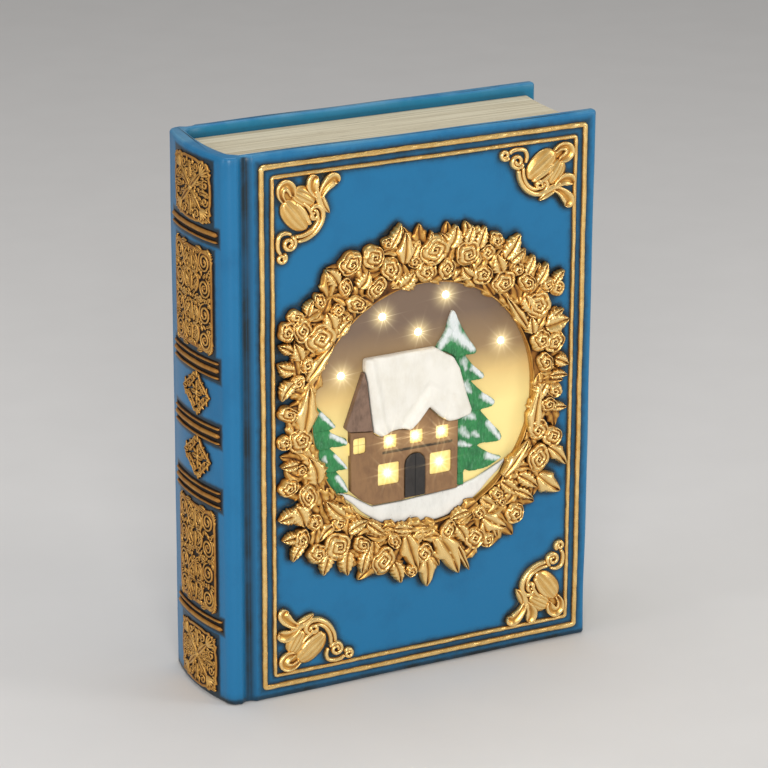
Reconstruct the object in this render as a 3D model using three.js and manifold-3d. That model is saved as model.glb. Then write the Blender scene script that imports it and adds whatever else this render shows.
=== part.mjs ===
// A lighted book decoration: a cast story book with a round window, a winter cottage scene and warm LEDs.
// Millimetres, +Z up. The origin is at the foot of the book, in the middle of its width and depth.
// +X runs from the spine to the fore-edge, and the front board faces -Y.
import * as THREE from 'three';
import { mergeVertices } from 'three/addons/utils/BufferGeometryUtils.js';
import Module from 'manifold-3d';

const wasm = await Module();
wasm.setup();

// Driving sizes of the closed book
const bookHeight = 245;
const bookWidth = 181;
const bookThickness = 57;
const boardThickness = 4.5;
const coverSquare = 5;
const edgeSoftening = 0.8;

// Clearances
const fitGap = 0.3;
const cutOverrun = 1;
const weldTolerance = 0.0005;

// Spine, its shoulders and the groove that the boards seem to turn on
const spineWall = 6.5;
const spineRound = 3;
const shoulderDepth = 4.7;
const shoulderWidth = 5.2;
const innerShoulder = 3;
const grooveFromCrown = 12.7;
const grooveWidth = 3.5;
const grooveDepth = 1.6;
const spineRelief = 1.5;

// Page block
const pageWall = 4;
const pageHollow = 2;
const pageSpineWall = 5;

// Gold lines round the front board
const lineWidth = 2.2;
const lineHeight = 0.9;
const lineSoftening = 0.4;
const lineInset = 4.6;
const lineFromCrown = 19;
const lineSpacing = 4.8;

// Window and rose wreath
const windowRaise = 2.8;
const windowTowardsSpine = 1;
const windowLip = 1;
const leafClearance = 0.8;
const wreathRelief = 5.2;
const wreathBase = 1.8;
const wreathRim = 2.6;
const wreathSideRoom = 33.9;

// Corner ornaments
const cornerRelief = 2.6;

// Sky panel, cottage scene and lights
const panelThickness = 2;
const panelLip = 6.5;
const groundDepth = boardThickness - panelThickness - fitGap;
const treeDepth = 2;
const wallsDepth = 3.2;
const wallsSkin = 1.3;
const gableDepth = 3.5;
const roofDepth = 5;
const roofSoftening = 0.9;
const doorRecess = 0.9;
const doorDepth = 0.8;
const sheetThickness = 0.6;
const ledRadius = 1.5;
const ledFlangeRadius = 1.9;
const ledFlangeHeight = 1;
const ledLength = 5.3;
const ledProud = 1;
const ledBoardInset = 2.5;
const ledBoardThickness = 1.6;
const bossRadius = 2.8;
const bossInset = 3.3;
const boardScrewRadius = 0.9;
const boardScrewHeadRadius = 1.9;
const boardScrewHeadHeight = 1.2;
const boardScrewBite = 1.5;

// Battery box, cells and door
const cellRadius = 7.1;
const cellLength = 49.2;
const cellNubRadius = 2.7;
const cellNubLength = 1;
const cellPlay = 0.8;
const springRoom = 6;
const plateRoom = 1.2;
const trayWall = 1.6;
const ribThickness = 1.2;
const ribHeight = 3;
const flangeThickness = 2.6;
const flangeMargin = 8;
const doorThickness = 2.2;
const doorLedge = 1;
const hingePinRadius = 0.6;
const hingePinLength = 1.5;
const latchWidth = 12;
const latchThickness = 1.1;
const latchDepth = 2.4;
const thumbNotchWidth = 12;
const thumbNotchDepth = 1.4;
const boxHeight = 82;
const boxScrewRadius = 1.2;
const boxScrewLength = 8;
const boxScrewHeadRadius = 2.5;
const boxScrewHeadHeight = 1.5;
const boxScrewInset = 4.2;
const boxBossRadius = 3.6;
const boxBossDepth = 7;
const plateThickness = 0.4;
const plateWidth = 9.6;
const tagWidth = 2.4;
const tagReach = 2.2;
const springWireRadius = 0.35;
const springFootRadius = 4;
const springTipRadius = 2.6;
const springTurns = 3.5;

// Slide switch
const switchLength = 12;
const switchWidth = 5.6;
const switchDepth = 4.6;
const switchWall = 1;
const switchTravel = 4;
const switchFromTray = 4;
const sliderLength = 4.2;
const sliderFoot = 1.4;
const knobLength = 3;
const knobWidth = 2.4;
const pocketMargin = 1.6;
const pocketDepth = 1.6;

// Wires inside the book
const wireRadius = 0.65;

// Facets
const windowSegments = 32;
const spineSteps = 6;
const ledSides = 6;
const screwSides = 8;
const stemSides = 4;
const cellSides = 12;
const springSteps = 7;
const springSides = 4;
const wireSides = 6;
const filigreeSides = 3;

// Places worked out from the driving sizes
const foreEdgeX = (bookWidth + spineRelief) / 2;
const crownX = foreEdgeX - bookWidth;
const reliefHeight = wreathRelief + fitGap;
const frontY = -(bookThickness - reliefHeight) / 2;
const backY = frontY + bookThickness;
const middleY = (frontY + backY) / 2;
const boardHalf = bookThickness / 2;
const innerHalf = boardHalf - boardThickness;
const spineArcHalf = boardHalf - shoulderWidth;

// The window and its wreath fill the field inside the gold lines, between its sides or its ends.
// The wreath, the scene and the corner ornaments are drawn in thirty-seconds of the window's radius.
const fieldInset = lineInset + lineSpacing + lineWidth;
const fieldLeft = crownX + lineFromCrown + lineSpacing + lineWidth;
const fieldRight = foreEdgeX - fieldInset;
const fieldHalfHeight = bookHeight / 2 - fieldInset;
const windowX = (fieldLeft + fieldRight) / 2 - windowTowardsSpine;
const windowHeight = bookHeight / 2 + windowRaise;
const leafReachShare = 43;
const wreathHalfWidthShare = 40.1;
const wreathHalfHeightShare = 46.1;
const unitAcross = (fieldRight - windowX - leafClearance) / leafReachShare;
const unitUpright = (fieldHalfHeight - wreathSideRoom) / wreathHalfHeightShare;
const windowUnit = Math.min(unitAcross, unitUpright);
const windowRadius = 32 * windowUnit;
const windowHoleRadius = windowRadius + windowLip;
const panelRadius = windowRadius + panelLip;
const ledBoardRadius = panelRadius - ledBoardInset;
const bossCircle = ledBoardRadius - bossInset;
const panelY = frontY + boardThickness - panelThickness;

// Finishes
const finish = (color, roughness, metalness) =>
  new THREE.MeshStandardMaterial({ color, roughness, metalness });
const finishes = {
  blue: finish('#2d78aa', 0.45, 0),
  gold: finish('#d7a55a', 0.35, 0.8),
  page: finish('#d7cdaa', 0.8, 0),
  snow: finish('#f0eee4', 0.75, 0),
  sky: finish('#e0cf98', 0.7, 0),
  brown: finish('#8c6950', 0.7, 0),
  gable: finish('#735647', 0.8, 0),
  door: finish('#3c3732', 0.7, 0),
  green: finish('#2f8f4f', 0.65, 0),
  pane: finish('#faeba0', 0.4, 0),
  led: finish('#fff1c8', 0.15, 0),
  board: finish('#2d5a3c', 0.5, 0.1),
  plastic: finish('#1f1f20', 0.45, 0),
  cell: finish('#8a8d90', 0.35, 0.6),
  steel: finish('#c9ccd0', 0.25, 1),
  red: finish('#b3251f', 0.5, 0),
  black: finish('#1a1a1a', 0.5, 0),
};

// Solids and meshes

function solidOf(geometry) {
  const bare = geometry.clone();
  bare.deleteAttribute('normal');
  bare.deleteAttribute('uv');
  const welded = mergeVertices(bare, weldTolerance);
  const vertProperties = welded.attributes.position.array;
  const triVerts = new Uint32Array(welded.index.array);
  return new wasm.Manifold(new wasm.Mesh({ numProp: 3, vertProperties, triVerts }));
}

function joined(geometries) {
  return wasm.Manifold.union(geometries.map(solidOf));
}

function geometryOf(solid) {
  const { vertProperties, triVerts } = solid.getMesh();
  const geometry = new THREE.BufferGeometry();
  geometry.setAttribute('position', new THREE.BufferAttribute(vertProperties, 3));
  geometry.setIndex(new THREE.BufferAttribute(triVerts, 1));
  const faceted = geometry.toNonIndexed();
  faceted.computeVertexNormals();
  return faceted;
}

function piece(name, shape, material) {
  const geometry = shape.isBufferGeometry ? shape : geometryOf(shape);
  const mesh = new THREE.Mesh(geometry, material);
  mesh.name = name;
  return mesh;
}

// Flat outlines

function outlineOf(points) {
  return new THREE.Shape(points.map(([x, y]) => new THREE.Vector2(x, y)));
}

function scaled(pointShares, unit) {
  return pointShares.map((point) => point.map((value) => value * unit));
}

function arcPoints(centreX, centreY, radiusX, radiusY, fromTurn, toTurn, steps) {
  return Array.from({ length: steps + 1 }, (_, i) => {
    const angle = 2 * Math.PI * (fromTurn + ((toTurn - fromTurn) * i) / steps);
    return [centreX + radiusX * Math.cos(angle), centreY + radiusY * Math.sin(angle)];
  });
}

function spiralPoints(centreX, centreY, fromRadius, toRadius, fromTurn, turns, steps) {
  return Array.from({ length: steps + 1 }, (_, i) => {
    const radius = fromRadius + ((toRadius - fromRadius) * i) / steps;
    const angle = 2 * Math.PI * (fromTurn + (turns * i) / steps);
    return [centreX + radius * Math.cos(angle), centreY + radius * Math.sin(angle)];
  });
}

// Simple bodies, each drawn with its length, width and height along X, Y and Z

function slab(points, from, to) {
  const plate = new THREE.ExtrudeGeometry(outlineOf(points), { depth: to - from, bevelEnabled: false });
  return plate.translate(0, 0, from);
}

function block(fromX, toX, fromY, toY, fromZ, toZ) {
  const box = new THREE.BoxGeometry(toX - fromX, toY - fromY, toZ - fromZ);
  return box.translate((fromX + toX) / 2, (fromY + toY) / 2, (fromZ + toZ) / 2);
}

function disc(x, y, radius, fromZ, toZ, segments) {
  const cylinder = new THREE.CylinderGeometry(radius, radius, toZ - fromZ, segments);
  return cylinder.rotateX(Math.PI / 2).translate(x, y, (fromZ + toZ) / 2);
}

function turned(profile, sides) {
  const points = profile.map(([radius, height]) => new THREE.Vector2(radius, height));
  return new THREE.LatheGeometry(points, sides).rotateX(Math.PI / 2);
}

// A rod through the points, with its own radius at each of them and flat ends.
function rod(points, radii, sides, up) {
  const rings = points.map((point, i) => {
    const before = points[Math.max(i - 1, 0)];
    const after = points[Math.min(i + 1, points.length - 1)];
    const along = after.clone().sub(before).normalize();
    const across = new THREE.Vector3().crossVectors(along, up).normalize();
    const out = new THREE.Vector3().crossVectors(across, along);
    return Array.from({ length: sides }, (_, k) => {
      const angle = (2 * Math.PI * k) / sides;
      const place = point.clone().addScaledVector(across, radii[i] * Math.cos(angle));
      return place.addScaledVector(out, radii[i] * Math.sin(angle));
    });
  });
  const corners = [];
  for (let i = 0; i + 1 < rings.length; i += 1) {
    for (let k = 0; k < sides; k += 1) {
      const next = (k + 1) % sides;
      corners.push(rings[i][k], rings[i + 1][k], rings[i + 1][next]);
      corners.push(rings[i][k], rings[i + 1][next], rings[i][next]);
    }
  }
  const end = rings.length - 1;
  for (let k = 1; k + 1 < sides; k += 1) {
    corners.push(rings[0][0], rings[0][k], rings[0][k + 1]);
    corners.push(rings[end][0], rings[end][k + 1], rings[end][k]);
  }
  return new THREE.BufferGeometry().setFromPoints(corners);
}

// A half-sunk egg shape, long along the given turn.
function lobe(x, y, halfLength, halfWidth, height, turn) {
  const lobeSides = 6;
  const lobeRows = 4;
  const egg = new THREE.SphereGeometry(1, lobeSides, lobeRows).rotateX(Math.PI / 2);
  return egg.scale(halfLength, halfWidth, height).rotateZ(2 * Math.PI * turn).translate(x, y, 0);
}

// A pointed leaf from its foot to its tip, with a raised midrib.
function leaf(footX, footY, tipX, tipY, halfWidth, edgeHeight, ribHeight) {
  const widestShare = 0.45;
  const ribFromShare = 0.15;
  const ribToShare = 0.75;
  const run = new THREE.Vector2(tipX - footX, tipY - footY);
  const side = new THREE.Vector2(-run.y, run.x).normalize().multiplyScalar(halfWidth);
  const foot = new THREE.Vector2(footX, footY);
  const at = (share, sideShare, z) => {
    const place = foot.clone().addScaledVector(run, share).addScaledVector(side, sideShare);
    return new THREE.Vector3(place.x, place.y, z);
  };
  const rim = [[0, 0], [widestShare, -1], [1, 0], [widestShare, 1]];
  const low = rim.map(([share, sideShare]) => at(share, sideShare, 0));
  const high = rim.map(([share, sideShare]) => at(share, sideShare, edgeHeight));
  const ribFoot = at(ribFromShare, 0, ribHeight);
  const ribTip = at(ribToShare, 0, ribHeight);
  const corners = [low[0], low[2], low[1], low[0], low[3], low[2]];
  rim.forEach((_, i) => {
    const next = (i + 1) % rim.length;
    corners.push(low[i], low[next], high[next], low[i], high[next], high[i]);
  });
  corners.push(high[0], high[1], ribFoot, high[1], ribTip, ribFoot, high[1], high[2], ribTip);
  corners.push(high[2], high[3], ribTip, high[3], ribFoot, ribTip, high[3], high[0], ribFoot);
  return new THREE.BufferGeometry().setFromPoints(corners);
}

const outOfFace = new THREE.Vector3(0, 0, 1);

function flatRod(places, radii, height) {
  const points = places.map(([x, y]) => new THREE.Vector3(x, y, height));
  return rod(points, radii, stemSides, outOfFace);
}

function aboveFace(solid) {
  return solid.trimByPlane([0, 0, 1], 0);
}

// Frames in which pieces are drawn: X to the right, Y up the book and Z out of the face that they lie on

function facing(right, out, x, y, z) {
  const up = new THREE.Vector3(0, 0, 1);
  return new THREE.Matrix4().makeBasis(right, up, out).setPosition(x, y, z);
}

const frontFrame = facing(new THREE.Vector3(1, 0, 0), new THREE.Vector3(0, -1, 0), 0, frontY, 0);
const boxFrame = facing(new THREE.Vector3(-1, 0, 0), new THREE.Vector3(0, 1, 0), 0, backY, boxHeight);
const windowFrame = frontFrame.clone().setPosition(windowX, panelY, windowHeight);

// Turns a body drawn as a plan so that its plan faces along X.
const alongX = new THREE.Matrix4().makeBasis(
  new THREE.Vector3(0, 1, 0),
  new THREE.Vector3(0, 0, 1),
  new THREE.Vector3(1, 0, 0),
);

function framed(frame, pieces) {
  const group = new THREE.Group();
  group.applyMatrix4(frame);
  group.add(...pieces);
  return group;
}

// Plan of the book, seen from above, with Y measured from the middle of its thickness

function spineFaceX(y) {
  return crownX + spineRound * (y / spineArcHalf) ** 2;
}

function spineRun(fromY, toY, offset) {
  return Array.from({ length: spineSteps + 1 }, (_, i) => {
    const y = fromY + ((toY - fromY) * i) / spineSteps;
    return [spineFaceX(y) + offset, y];
  });
}

function mirrored(points) {
  return points.map(([x, y]) => [x, -y]).reverse();
}

// Book case: one casting of the front board, the rounded spine and the back board

function casePlan() {
  const shoulderSteps = 3;
  const grooveX = crownX + grooveFromCrown;
  const shoulderX = crownX + spineRound + shoulderDepth;
  const front = [
    [foreEdgeX, -(boardHalf - edgeSoftening)],
    [foreEdgeX - edgeSoftening, -boardHalf],
    [grooveX + grooveWidth / 2, -boardHalf],
    [grooveX + grooveWidth / 4, -(boardHalf - grooveDepth)],
    [grooveX - grooveWidth / 4, -(boardHalf - grooveDepth)],
    [grooveX - grooveWidth / 2, -boardHalf],
    ...arcPoints(shoulderX, -spineArcHalf, shoulderDepth, shoulderWidth, -0.25, -0.5, shoulderSteps),
  ];
  const crown = spineRun(-spineArcHalf, spineArcHalf, 0).slice(1, -1);
  const innerArc = innerHalf - innerShoulder;
  const innerFront = [
    [foreEdgeX, -(innerHalf + edgeSoftening)],
    [foreEdgeX - edgeSoftening, -innerHalf],
    [spineFaceX(innerArc) + spineWall + innerShoulder, -innerHalf],
  ];
  const innerCrown = spineRun(-innerArc, innerArc, spineWall);
  const outer = [...front, ...crown, ...mirrored(front)];
  const inner = [...innerFront, ...innerCrown, ...mirrored(innerFront)];
  return [...outer, ...inner.reverse()];
}

function bookCase() {
  const softening = { bevelSize: edgeSoftening, bevelOffset: -edgeSoftening, bevelThickness: edgeSoftening };
  const body = new THREE.ExtrudeGeometry(outlineOf(casePlan()), {
    depth: bookHeight - 2 * edgeSoftening,
    bevelSegments: 1,
    ...softening,
  }).translate(0, middleY, edgeSoftening);
  const inFront = cutOverrun + panelThickness;
  const hole = disc(0, 0, windowHoleRadius, -inFront, boardThickness + cutOverrun, windowSegments);
  const rebate = disc(0, 0, panelRadius + fitGap, -inFront, fitGap, windowSegments);
  const windowCuts = [hole, rebate].map((cut) => cut.applyMatrix4(windowFrame));
  const bossTop = -(flangeThickness + fitGap);
  const bossFoot = -(boardThickness + boxBossDepth);
  const bosses = boxScrewPlaces().map(([x, y]) => disc(x, y, boxBossRadius, bossFoot, bossTop, screwSides));
  const pilotFoot = -(boxScrewLength + 2 * fitGap);
  const pilots = boxScrewPlaces().map(([x, y]) =>
    disc(x, y, boxScrewRadius + fitGap, pilotFoot, bossTop + cutOverrun, screwSides),
  );
  const { left, right, foot, top } = flangeEdges();
  const seat = block(left - fitGap, right + fitGap, foot - fitGap, top + fitGap, bossTop, cutOverrun);
  const opening = block(
    -trayHalfLength - fitGap,
    trayHalfLength + fitGap,
    -trayHalfWidth - fitGap,
    switchTop + fitGap,
    -(boardThickness + cutOverrun),
    cutOverrun,
  );
  const boxCuts = [seat, opening, ...pilots].map((cut) => cut.applyMatrix4(boxFrame));
  const casting = joined([body, ...bosses.map((boss) => boss.applyMatrix4(boxFrame))]);
  return casting.subtract(joined([...windowCuts, ...boxCuts]));
}

// Page block: a hollow casting whose outer faces carry the edges of the pages

function pageBlock() {
  const half = innerHalf - fitGap;
  const edgeX = foreEdgeX - coverSquare;
  const foreEdge = Array.from({ length: spineSteps + 1 }, (_, i) => {
    const y = half * (1 - (2 * i) / spineSteps);
    return [edgeX - pageHollow * (1 - (y / half) ** 2), y];
  });
  const innerArc = half - innerShoulder;
  const shoulderX = spineFaceX(innerArc) + spineWall + innerShoulder + fitGap;
  const spineSide = spineRun(-innerArc, innerArc, spineWall + fitGap);
  const plan = [...foreEdge, [shoulderX, -half], ...spineSide, [shoulderX, half]];
  const body = slab(plan, coverSquare, bookHeight - coverSquare);
  const fromX = shoulderX + pageSpineWall;
  const toX = edgeX - pageHollow - pageWall;
  const wall = coverSquare + pageWall;
  const hollow = block(fromX, toX, -half - cutOverrun, half + cutOverrun, wall, bookHeight - wall);
  return solidOf(body.translate(0, middleY, 0)).subtract(solidOf(hollow.translate(0, middleY, 0)));
}

// Gold lines

function lineEdges(inset) {
  return {
    left: crownX + lineFromCrown + inset,
    right: foreEdgeX - lineInset - inset,
    foot: lineInset + inset,
    top: bookHeight - lineInset - inset,
  };
}

function corners({ left, right, foot, top }) {
  return [[left, foot], [right, foot], [right, top], [left, top]];
}

function goldLine(inset) {
  const ring = outlineOf(corners(lineEdges(inset)));
  ring.holes.push(outlineOf(corners(lineEdges(inset + lineWidth))));
  const softening = { bevelSize: lineSoftening, bevelOffset: -lineSoftening, bevelThickness: lineSoftening };
  const depth = lineHeight - 2 * lineSoftening;
  const bar = new THREE.ExtrudeGeometry(ring, { depth, bevelSegments: 1, ...softening });
  return bar.translate(0, 0, fitGap + lineSoftening);
}

// Corner ornament, drawn for the top corner by the spine, with its corner at the origin.
// It reaches the twenty-two shares that its tables are drawn in.

function cornerOrnament() {
  const unit = windowUnit;
  const budShares = [
    [4.1, -4.1, 4, 2, 0.8, -0.125],
    [6.2, -10.2, 5, 3.3, 1, -0.15],
    [9.4, -6.6, 3.8, 2.6, 0.9, -0.1],
    [11.2, -2.9, 2.6, 1.4, 0.7, 0.28],
    [15.2, -3.9, 3, 1.4, 0.7, 0.06],
    [14.1, -7.6, 2.2, 1, 0.6, -0.17],
    [10.6, -10.4, 1.7, 1.5, 1, 0],
  ];
  const buds = budShares.map(([x, y, length, width, height, turn]) =>
    lobe(x * unit, y * unit, length * unit, width * unit, height * cornerRelief, turn),
  );
  const stemShares = [
    [11.6, -4.4], [12.8, -7.4], [13, -11], [12, -14], [9.6, -16], [6.6, -16.4], [4.6, -15.2],
  ];
  const stemRadiusShares = [0.7, 0.9, 1, 1.05, 1, 0.9, 0.7];
  const stemRadii = stemRadiusShares.map((share) => share * unit);
  const stem = flatRod(scaled(stemShares, unit), stemRadii, 0);
  const scrollShares = [
    { x: 4.1, y: -17, from: 2.3, to: 0.7, start: 0.25, turns: -1.5 },
    { x: 1.8, y: -20.6, from: 1.5, to: 0.6, start: 0.3, turns: -1.25 },
  ];
  const scrollRadiusShare = 0.55;
  const curls = scrollShares.map(({ x, y, from, to, start, turns }) => {
    const steps = 7;
    const places = scaled(spiralPoints(x, y, from, to, start, turns, steps), unit);
    return flatRod(places, places.map(() => scrollRadiusShare * unit), scrollRadiusShare * unit);
  });
  const linkShares = [[4.4, -15], [2.4, -15.2], [1.6, -17], [1.5, -19.6]];
  const link = flatRod(scaled(linkShares, unit), linkShares.map(() => scrollRadiusShare * unit), 0);
  return aboveFace(joined([...buds, stem, ...curls, link])).translate([0, 0, fitGap]);
}

function cornerOrnaments() {
  const names = ['corner_ornament_spine_top', 'corner_ornament_edge_top'];
  names.push('corner_ornament_edge_foot', 'corner_ornament_spine_foot');
  const { left, right, foot, top } = lineEdges(lineSpacing + lineWidth + fitGap);
  const places = [[left, top], [right, top], [right, foot], [left, foot]];
  const geometry = geometryOf(cornerOrnament());
  return names.map((name, i) => {
    const ornament = piece(name, geometry, finishes.gold);
    ornament.position.set(...places[i], 0);
    ornament.rotation.z = (-Math.PI / 2) * i;
    return ornament;
  });
}

// Rose wreath. Its places are shares of the window's radius, in thirty-seconds, from the window's middle.

const roseShares = [
  [-20.7, 39.9, 3.2], [-14.3, 40.6, 2.8], [-9.3, 37, 2.9], [-10.2, 43.6, 1.4], [-22.1, 33.8, 2.4],
  [-19.1, 28.8, 2.8], [-12.7, 31.6, 3], [-24.3, 27.9, 1.7], [-34.1, 24.2, 3], [-38.4, 24.2, 2.5],
  [-36, 27.8, 2], [-29.3, 31.1, 2], [-28.2, 20.4, 4], [-33.2, 14.9, 2.1], [-35.7, 10.6, 2],
  [-39.3, 2.2, 2.6], [-2.3, 37.9, 1.7], [0.9, 34.9, 2.7], [3.4, 39.9, 4], [13.1, 38.1, 3.3],
  [7, 34.7, 2.6], [18.8, 37.2, 2.1], [21.5, 40.4, 2], [17.4, 31.5, 2.7], [23.8, 28.8, 3.2],
  [27.9, 31.5, 1.7], [30.6, 27.4, 2.8], [36.8, 26.1, 1.9], [39.8, 24.8, 2.2], [34.5, 20.8, 3.4],
  [33.8, 10.6, 2.8], [39.5, 9.9, 2.9], [36.5, 4.7, 2.7], [-34.6, -5.2, 3.1], [-40.2, -5.2, 1.8],
  [-34.8, -13.4, 1.5], [-39.6, -17.3, 2.6], [-32.7, -20.7, 3.3], [-30.9, -28.2, 2.2], [-34.6, -32.3, 2.7],
  [-30.3, -37, 2.5], [-24.6, -36.1, 3.6], [-17.3, -37, 2.7], [-7.7, -37.3, 2.2], [-10.9, -42.5, 3.6],
  [-24.1, -29.8, 1.8], [-2.7, -46.8, 1.6], [39.9, -3.4, 2], [37.9, -7.3, 2.3], [34.3, -13.4, 2.7],
  [39.3, -16.4, 2.7], [35.4, -21.8, 3.6], [22, -29.1, 2], [24, -32, 1.3], [28.1, -36.1, 2.7],
  [17.4, -33.9, 1.8], [7.9, -36.1, 2.7], [16.1, -41.1, 2.7], [19.9, -42.2, 2], [1.1, -42.7, 2.6],
];

const leafShares = [
  [-24.6, 35.1, -28.4, 39.5, 2], [-9.9, 42.6, -7.1, 49, 1.3], [-5.6, 38.1, -5.6, 46.4, 2.2],
  [-4.1, 38.6, -1.6, 43.8, 1.6], [1.7, 41.1, 1.8, 45.8, 0.9], [-18.3, 33.1, -16.3, 37.8, 2.2],
  [-33.3, 28.1, -32.1, 32.4, 1.2], [-37.6, 19.1, -41.5, 21.3, 1.3], [-37.1, 14.1, -41.9, 16.5, 1.7],
  [-35.1, 16.6, -37.3, 21.6, 1.8], [-37.1, 11.1, -41.1, 6.8, 1.7], [-26.1, 23.6, -28.3, 28.4, 2.3],
  [-6.6, 31.6, -3.1, 35.6, 2.3], [-24.3, 21.6, -21.1, 25.6, 1.6], [-33.3, 10.6, -25.9, 20.1, 1.7],
  [-34.4, -3.4, -33, 9.6, 2.6], [7.4, 40.3, 8.9, 46.4, 2.4], [6.4, 41.1, 4.4, 44.8, 1.3],
  [12.4, 40.6, 13.7, 45.7, 1.6], [15.9, 39.1, 17.5, 44.9, 1.8], [23.9, 35.1, 27.7, 41.5, 2.2],
  [25.4, 34.1, 28.9, 37.1, 1.8], [22.9, 31.6, 20.7, 37.1, 2.2], [13.9, 31.6, 10.7, 35.1, 1.8],
  [30.1, 30.1, 31.9, 35.3, 1.5], [33.4, 27.1, 36, 32.6, 1.5], [38.4, 26.1, 41.2, 29.9, 1.2],
  [36.4, 14.6, 43, 16.3, 2.6], [36.9, 16.1, 41.4, 19.3, 1.4], [39.4, 5.6, 43, 3.8, 1.6],
  [29.9, 24.1, 32.4, 19.1, 2], [32.4, 13.6, 31.4, 18.6, 1.8], [30.9, 15.1, 23.9, 25.1, 1.3],
  [37.9, 1.1, 42.7, 0.9, 1.2], [32.9, -15.4, 34.6, -0.4, 1.8], [38.4, -7.9, 42.9, -8.2, 1.2],
  [37.9, -18.9, 43, -24.4, 1.7], [34.9, -26.4, 41.3, -31.6, 2.4], [28.9, -25.4, 34.4, -29.4, 1.9],
  [23.9, -26.4, 28.9, -30.4, 1.9], [24.4, -24.9, 31.5, -15.4, 1.6], [27.9, -29.4, 33.2, -32.5, 1.4],
  [18.4, -35.4, 25.1, -39.2, 2.3], [4.9, -38.4, 10.7, -49.6, 2.9], [10.4, -41.4, 13.9, -49.4, 1],
  [1.1, -43.4, 1.1, -51.6, 2.2], [10.4, -36.4, 12.9, -41.4, 1.9], [-4.6, -36.4, -1.6, -46.4, 2.4],
  [-8.1, -43.4, -6.6, -49.2, 1.8], [-16.1, -38.4, -18.3, -44.4, 1.5], [-21.6, -37.9, -22.3, -44.2, 2],
  [-27.1, -37.4, -29.3, -42.9, 1.8], [-34.6, -32.9, -38.2, -37.4, 1.4], [-36.1, -31.4, -40.8, -31.4, 1.5],
  [-36.6, -24.9, -41.9, -25.7, 1.8], [-36.6, -22.9, -34.6, -28.4, 2.6], [-36.1, -11.4, -41.1, -11.2, 1.4],
  [-30.6, -17.4, -33.1, -9.9, 2.6], [-23.1, -27.9, -28.6, -22.4, 1.9], [-21.6, -32.4, -16.6, -29.9, 1.7],
  [-16.1, -30.9, -11.1, -34.9, 1.5], [-8.1, -33.9, -2.1, -34.9, 1.4], [13.9, -32.9, 7.9, -33.9, 1.4],
  [36.9, -0.9, 33.9, -5.4, 2],
];

function rose(x, y, radius, height) {
  const wideSides = 6;
  const budSides = 5;
  const budRadius = 4;
  const profileShares = [[0, 0], [1, 0], [1, 0.55], [0.55, 0.9], [0.4, 0.66], [0, 1]];
  const profile = profileShares.map(([across, up]) => [radius * across, height * up]);
  return turned(profile, radius < budRadius ? budSides : wideSides).translate(x, y, 0);
}

function wreathOutline() {
  const squareness = 2.6;
  return arcPoints(0, 0, 1, 1, 0, 1, windowSegments).slice(1).map(([x, y]) => [
    wreathHalfWidthShare * windowUnit * Math.sign(x) * Math.abs(x) ** (2 / squareness),
    wreathHalfHeightShare * windowUnit * Math.sign(y) * Math.abs(y) ** (2 / squareness),
  ]);
}

function wreath() {
  const fullRoseShare = 4;
  const leastRiseShare = 0.7;
  const roses = roseShares.map(([x, y, radius]) => {
    const riseShare = leastRiseShare + (1 - leastRiseShare) * (radius / fullRoseShare);
    return rose(x * windowUnit, y * windowUnit, radius * windowUnit, wreathRelief * riseShare);
  });
  const edgeShare = 0.4;
  const ribShare = 0.62;
  const leaves = scaled(leafShares, windowUnit).map((places) =>
    leaf(...places, wreathRelief * edgeShare, wreathRelief * ribShare),
  );
  const base = slab(wreathOutline(), 0, wreathBase);
  const rim = disc(0, 0, windowRadius + wreathRim, 0, wreathBase + wreathRim / 2, windowSegments);
  const opening = disc(0, 0, windowRadius, -cutOverrun, wreathRelief + cutOverrun, windowSegments);
  const casting = joined([base, rim, ...roses, ...leaves]).subtract(solidOf(opening));
  return casting.translate([windowX, windowHeight, fitGap]);
}

// Spine ornaments: each is a thin web that follows the spine, with raised work on it

const outOfSpine = new THREE.Vector3(-1, 0, 0);
const webThickness = 0.6;

function spineStrip(middleY, halfWidth, fromRise, toRise, foot, top) {
  const outer = spineRun(middleY - halfWidth, middleY + halfWidth, -toRise);
  const inner = spineRun(middleY - halfWidth, middleY + halfWidth, -fromRise);
  return slab([...outer, ...inner.reverse()], foot, top);
}

function silhouette(points, middleY, middleZ) {
  const plate = slab(points, crownX - boardHalf, crownX + boardHalf);
  return plate.applyMatrix4(alongX).translate(0, middleY, middleZ);
}

function spineRod(places, radius, middleZ) {
  const points = places.map(
    ([y, z]) => new THREE.Vector3(spineFaceX(y) - fitGap - webThickness, y, middleZ + z),
  );
  return rod(points, places.map(() => radius), filigreeSides, outOfSpine);
}

function spineLobe(y, z, halfLength, halfWidth, height, turn, middleZ) {
  const lobeSides = 6;
  const lobeRows = 4;
  const egg = new THREE.SphereGeometry(1, lobeSides, lobeRows).rotateZ(Math.PI / 2);
  const shaped = egg.scale(height, halfLength, halfWidth).rotateX(2 * Math.PI * turn);
  return shaped.translate(spineFaceX(y) - fitGap - webThickness, y, middleZ + z);
}

function raised(web, work, middleY, halfWidth, foot, top) {
  const cutHalfWidth = halfWidth + cutOverrun;
  const behind = spineStrip(middleY, cutHalfWidth, -spineWall, fitGap, foot - cutOverrun, top + cutOverrun);
  return web.add(joined(work)).subtract(solidOf(behind));
}

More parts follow.
